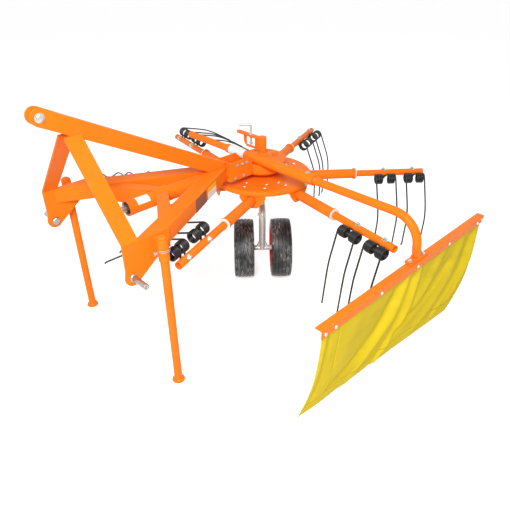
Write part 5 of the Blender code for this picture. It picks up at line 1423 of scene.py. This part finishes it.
class RAKE_OT_stands(bpy.types.Operator):
    """Build the stand legs, their sleeves with tabs, and the ring pins."""

    bl_idname = "rake.stands"
    bl_label = "Stand legs"

    def execute(self, context):
        foot = FOOT_RADIUS
        radius = STAND_RADIUS
        profile = rounded([
            (0, 0), (foot - 0.004, 0), (foot, 0.004), (foot - 0.002, 0.010), (radius + 0.010, 0.013),
            (radius + 0.001, 0.021), (radius, 0.030), (radius, STAND_TOP - 0.008),
            (radius * 0.75, STAND_TOP - 0.002), (0, STAND_TOP)], 0.004, 3)
        low, high = STAND_SLEEVE_SPAN
        for side, sign in (("left", 1), ("right", -1)):
            x, y = sign * STAND_PLACE[0], STAND_PLACE[1]
            place = shift(x, y, 0)
            sleeve = Shape()
            sleeve.pipe(STAND_SLEEVE_RADIUS, radius + SEAT, low, high, 48, place, 0.0015)
            first, last = sorted((-sign * (STAND_PLACE[0] - CHEEK_OUTER - SEAT), -sign * (radius + 0.002)))
            sleeve.block((first, -0.013, low + 0.026), (last, 0.013, high - 0.013), place)
            sleeve.piece(f"stand_holder_{side}", "orange_paint", "frame", [f"stand_sleeve_{side}"],
                         bevel=0.0008)
            leg = Shape()
            leg.turned(profile, 48, place)
            leg.piece(f"stand_post_{side}", "orange_paint", f"stand_{side}", [f"stand_leg_{side}"])
            pin = Shape()
            face = shift(x, y, STAND_PIN_HEIGHT) @ turn(math.pi / 2, "X")
            reach = radius + 0.0005
            pin.rod(0.005, reach, reach + 0.028, 20, face)
            near, far = reach + 0.022, reach + 0.030
            pin.turned(soft_ends([(0, near), (0.0085, near), (0.0085, far), (0, far)], 0.0015), 24, face)
            turns = arc(STAND_SLEEVE_RADIUS + 0.003, -math.pi * 0.42, math.pi * 1.42, RING_STEPS)
            ring = [(a, b, RING_RISE * math.cos(step / RING_STEPS * math.pi))
                    for step, (a, b) in enumerate(turns)]
            for drop in (0.000, 0.007):
                pin.swept(ring, 0.0016, 8, shift(x, y, STAND_PIN_HEIGHT - drop))
            pin.piece(f"ring_pin_{side}", "zinc_plate", "frame", [f"stand_pin_{side}"])
        return {"FINISHED"}


class RAKE_OT_plates(bpy.types.Operator):
    """Fix the bare plates and labels, with nothing on them."""

    bl_idname = "rake.plates"
    bl_label = "Bare plates"

    def execute(self, context):
        for name, finish, forward, length, height, depth in PLATES:
            sheet = Shape()
            outline = soft_oblong((-length / 2, -height / 2), (length / 2, height / 2), 0.003, 3)
            sheet.plate(outline, 0.0002, 0.0009, beam_face(forward, depth) @ FACING_X)
            sheet.piece(name, finish, "frame")
        self.wrap("boom_label", shift(0, BOOM_Y, BOOM_HEIGHT) @ ALONG_X, BOOM_COLLAR_RADIUS, *BOOM_LABEL)
        self.wrap("drive_label", shift(0, 0, DRIVE_HEIGHT) @ ALONG_Y, DRIVE_RADIUS, *DRIVE_LABEL)
        return {"FINISHED"}

    def wrap(self, name, place, radius, low, high, start, end):
        """White label wrapped part of the way round a tube."""
        start, end = math.radians(start), math.radians(end)
        label = Shape()
        outline = arc(radius + 0.0008, start, end, 20) + arc(radius + 0.0001, end, start, 20)
        label.plate(outline, low, high, place)
        label.piece(name, "white_film", "frame")


class RAKE_OT_stage(bpy.types.Operator):
    """Set the floor, the lights, the background and the camera."""

    bl_idname = "rake.stage"
    bl_label = "Stage"

    def execute(self, context):
        mesh = bpy.data.meshes.new("floor")
        corners = oblong((-FLOOR_HALF, -FLOOR_HALF), (FLOOR_HALF, FLOOR_HALF))
        mesh.from_pydata([(x, y, 0) for x, y in corners], [], [(0, 1, 2, 3)])
        floor = bpy.data.objects.new("floor", mesh)
        context.scene.collection.objects.link(floor)
        floor.location.z = -0.0005
        mesh.materials.append(floor_finish())
        self.world(context.scene)
        for name, place, target, size, power in LAMPS:
            self.lamp(name, place, target, size, power)
        self.camera(context.scene)
        context.scene.view_settings.view_transform = "Standard"
        return {"FINISHED"}

    def world(self, scene):
        """White where it is seen, and a softer light on the object."""
        world = bpy.data.worlds.new("studio")
        scene.world = world
        world.use_nodes = True
        nodes = Nodes(world.node_tree)
        nodes.tree.nodes.clear()
        light, backdrop = (
            nodes.node("ShaderNodeBackground", None, {"Color": WHITE, "Strength": strength}).outputs[0]
            for strength in (WORLD_LIGHT, 1.0))
        both = nodes.node("ShaderNodeMixShader", None, {0: nodes.seen(), 1: light, 2: backdrop})
        nodes.node("ShaderNodeOutputWorld", None, {"Surface": both.outputs[0]})

    def lamp(self, name, place, target, size, power):
        """Soft square lamp that looks at a point."""
        data = bpy.data.lights.new(name, "AREA")
        data.shape = "SQUARE"
        data.size = size
        data.energy = power
        item = bpy.data.objects.new(name, data)
        bpy.context.scene.collection.objects.link(item)
        item.location = place
        item.rotation_euler = (Vector(target) - Vector(place)).to_track_quat("-Z", "Y").to_euler()

    def camera(self, scene):
        """Camera at the photograph's place and angle."""
        yaw, pitch, roll = (math.radians(angle) for angle in CAMERA_ANGLES)
        level = Vector((math.cos(yaw), math.sin(yaw), 0))
        ahead = Vector((-math.sin(yaw) * math.cos(pitch), math.cos(yaw) * math.cos(pitch), -math.sin(pitch)))
        upward = level.cross(ahead)
        right = math.cos(roll) * level + math.sin(roll) * upward
        up = -math.sin(roll) * level + math.cos(roll) * upward
        data = bpy.data.cameras.new("camera")
        data.sensor_width = 36.0
        data.lens = CAMERA_LENS
        item = bpy.data.objects.new("camera", data)
        scene.collection.objects.link(item)
        matrix = Matrix((right, up, -ahead)).transposed().to_4x4()
        matrix.translation = HOME @ Vector(CAMERA_PLACE)
        item.matrix_world = matrix
        scene.camera = item


class RAKE_PT_panel(bpy.types.Panel):
    """Lists the rake's settings and its groups of pieces."""

    bl_label = "Hay Rake"
    bl_idname = "RAKE_PT_panel"
    bl_space_type = "VIEW_3D"
    bl_region_type = "UI"
    bl_category = "Hay Rake"

    def draw(self, context):
        for group in (context.scene.rake_colours, context.scene.rake_sizes):
            for key in group.__annotations__:
                self.layout.prop(group, key)
        for operator in OPERATORS:
            self.layout.operator(operator.bl_idname)


OPERATORS = (RAKE_OT_rotor, RAKE_OT_arms, RAKE_OT_gearbox, RAKE_OT_drive, RAKE_OT_frame, RAKE_OT_caster,
             RAKE_OT_boom, RAKE_OT_curtain, RAKE_OT_stands, RAKE_OT_plates, RAKE_OT_stage)
CLASSES = (RakeColours, RakeSizes) + OPERATORS + (RAKE_PT_panel,)


def register():
    """Register the classes and the scene's two groups of settings."""
    for item in CLASSES:
        bpy.utils.register_class(item)
    bpy.types.Scene.rake_colours = bpy.props.PointerProperty(type=RakeColours)
    bpy.types.Scene.rake_sizes = bpy.props.PointerProperty(type=RakeSizes)


def unregister():
    """Take the groups of settings and the classes away."""
    del bpy.types.Scene.rake_sizes
    del bpy.types.Scene.rake_colours
    for item in reversed(CLASSES):
        bpy.utils.unregister_class(item)


def main():
    """Build the looks, group by group."""
    register()
    make_finishes()
    for operator in OPERATORS:
        group, name = operator.bl_idname.split(".")
        getattr(getattr(bpy.ops, group), name)()


if __name__ == "__main__":
    main()
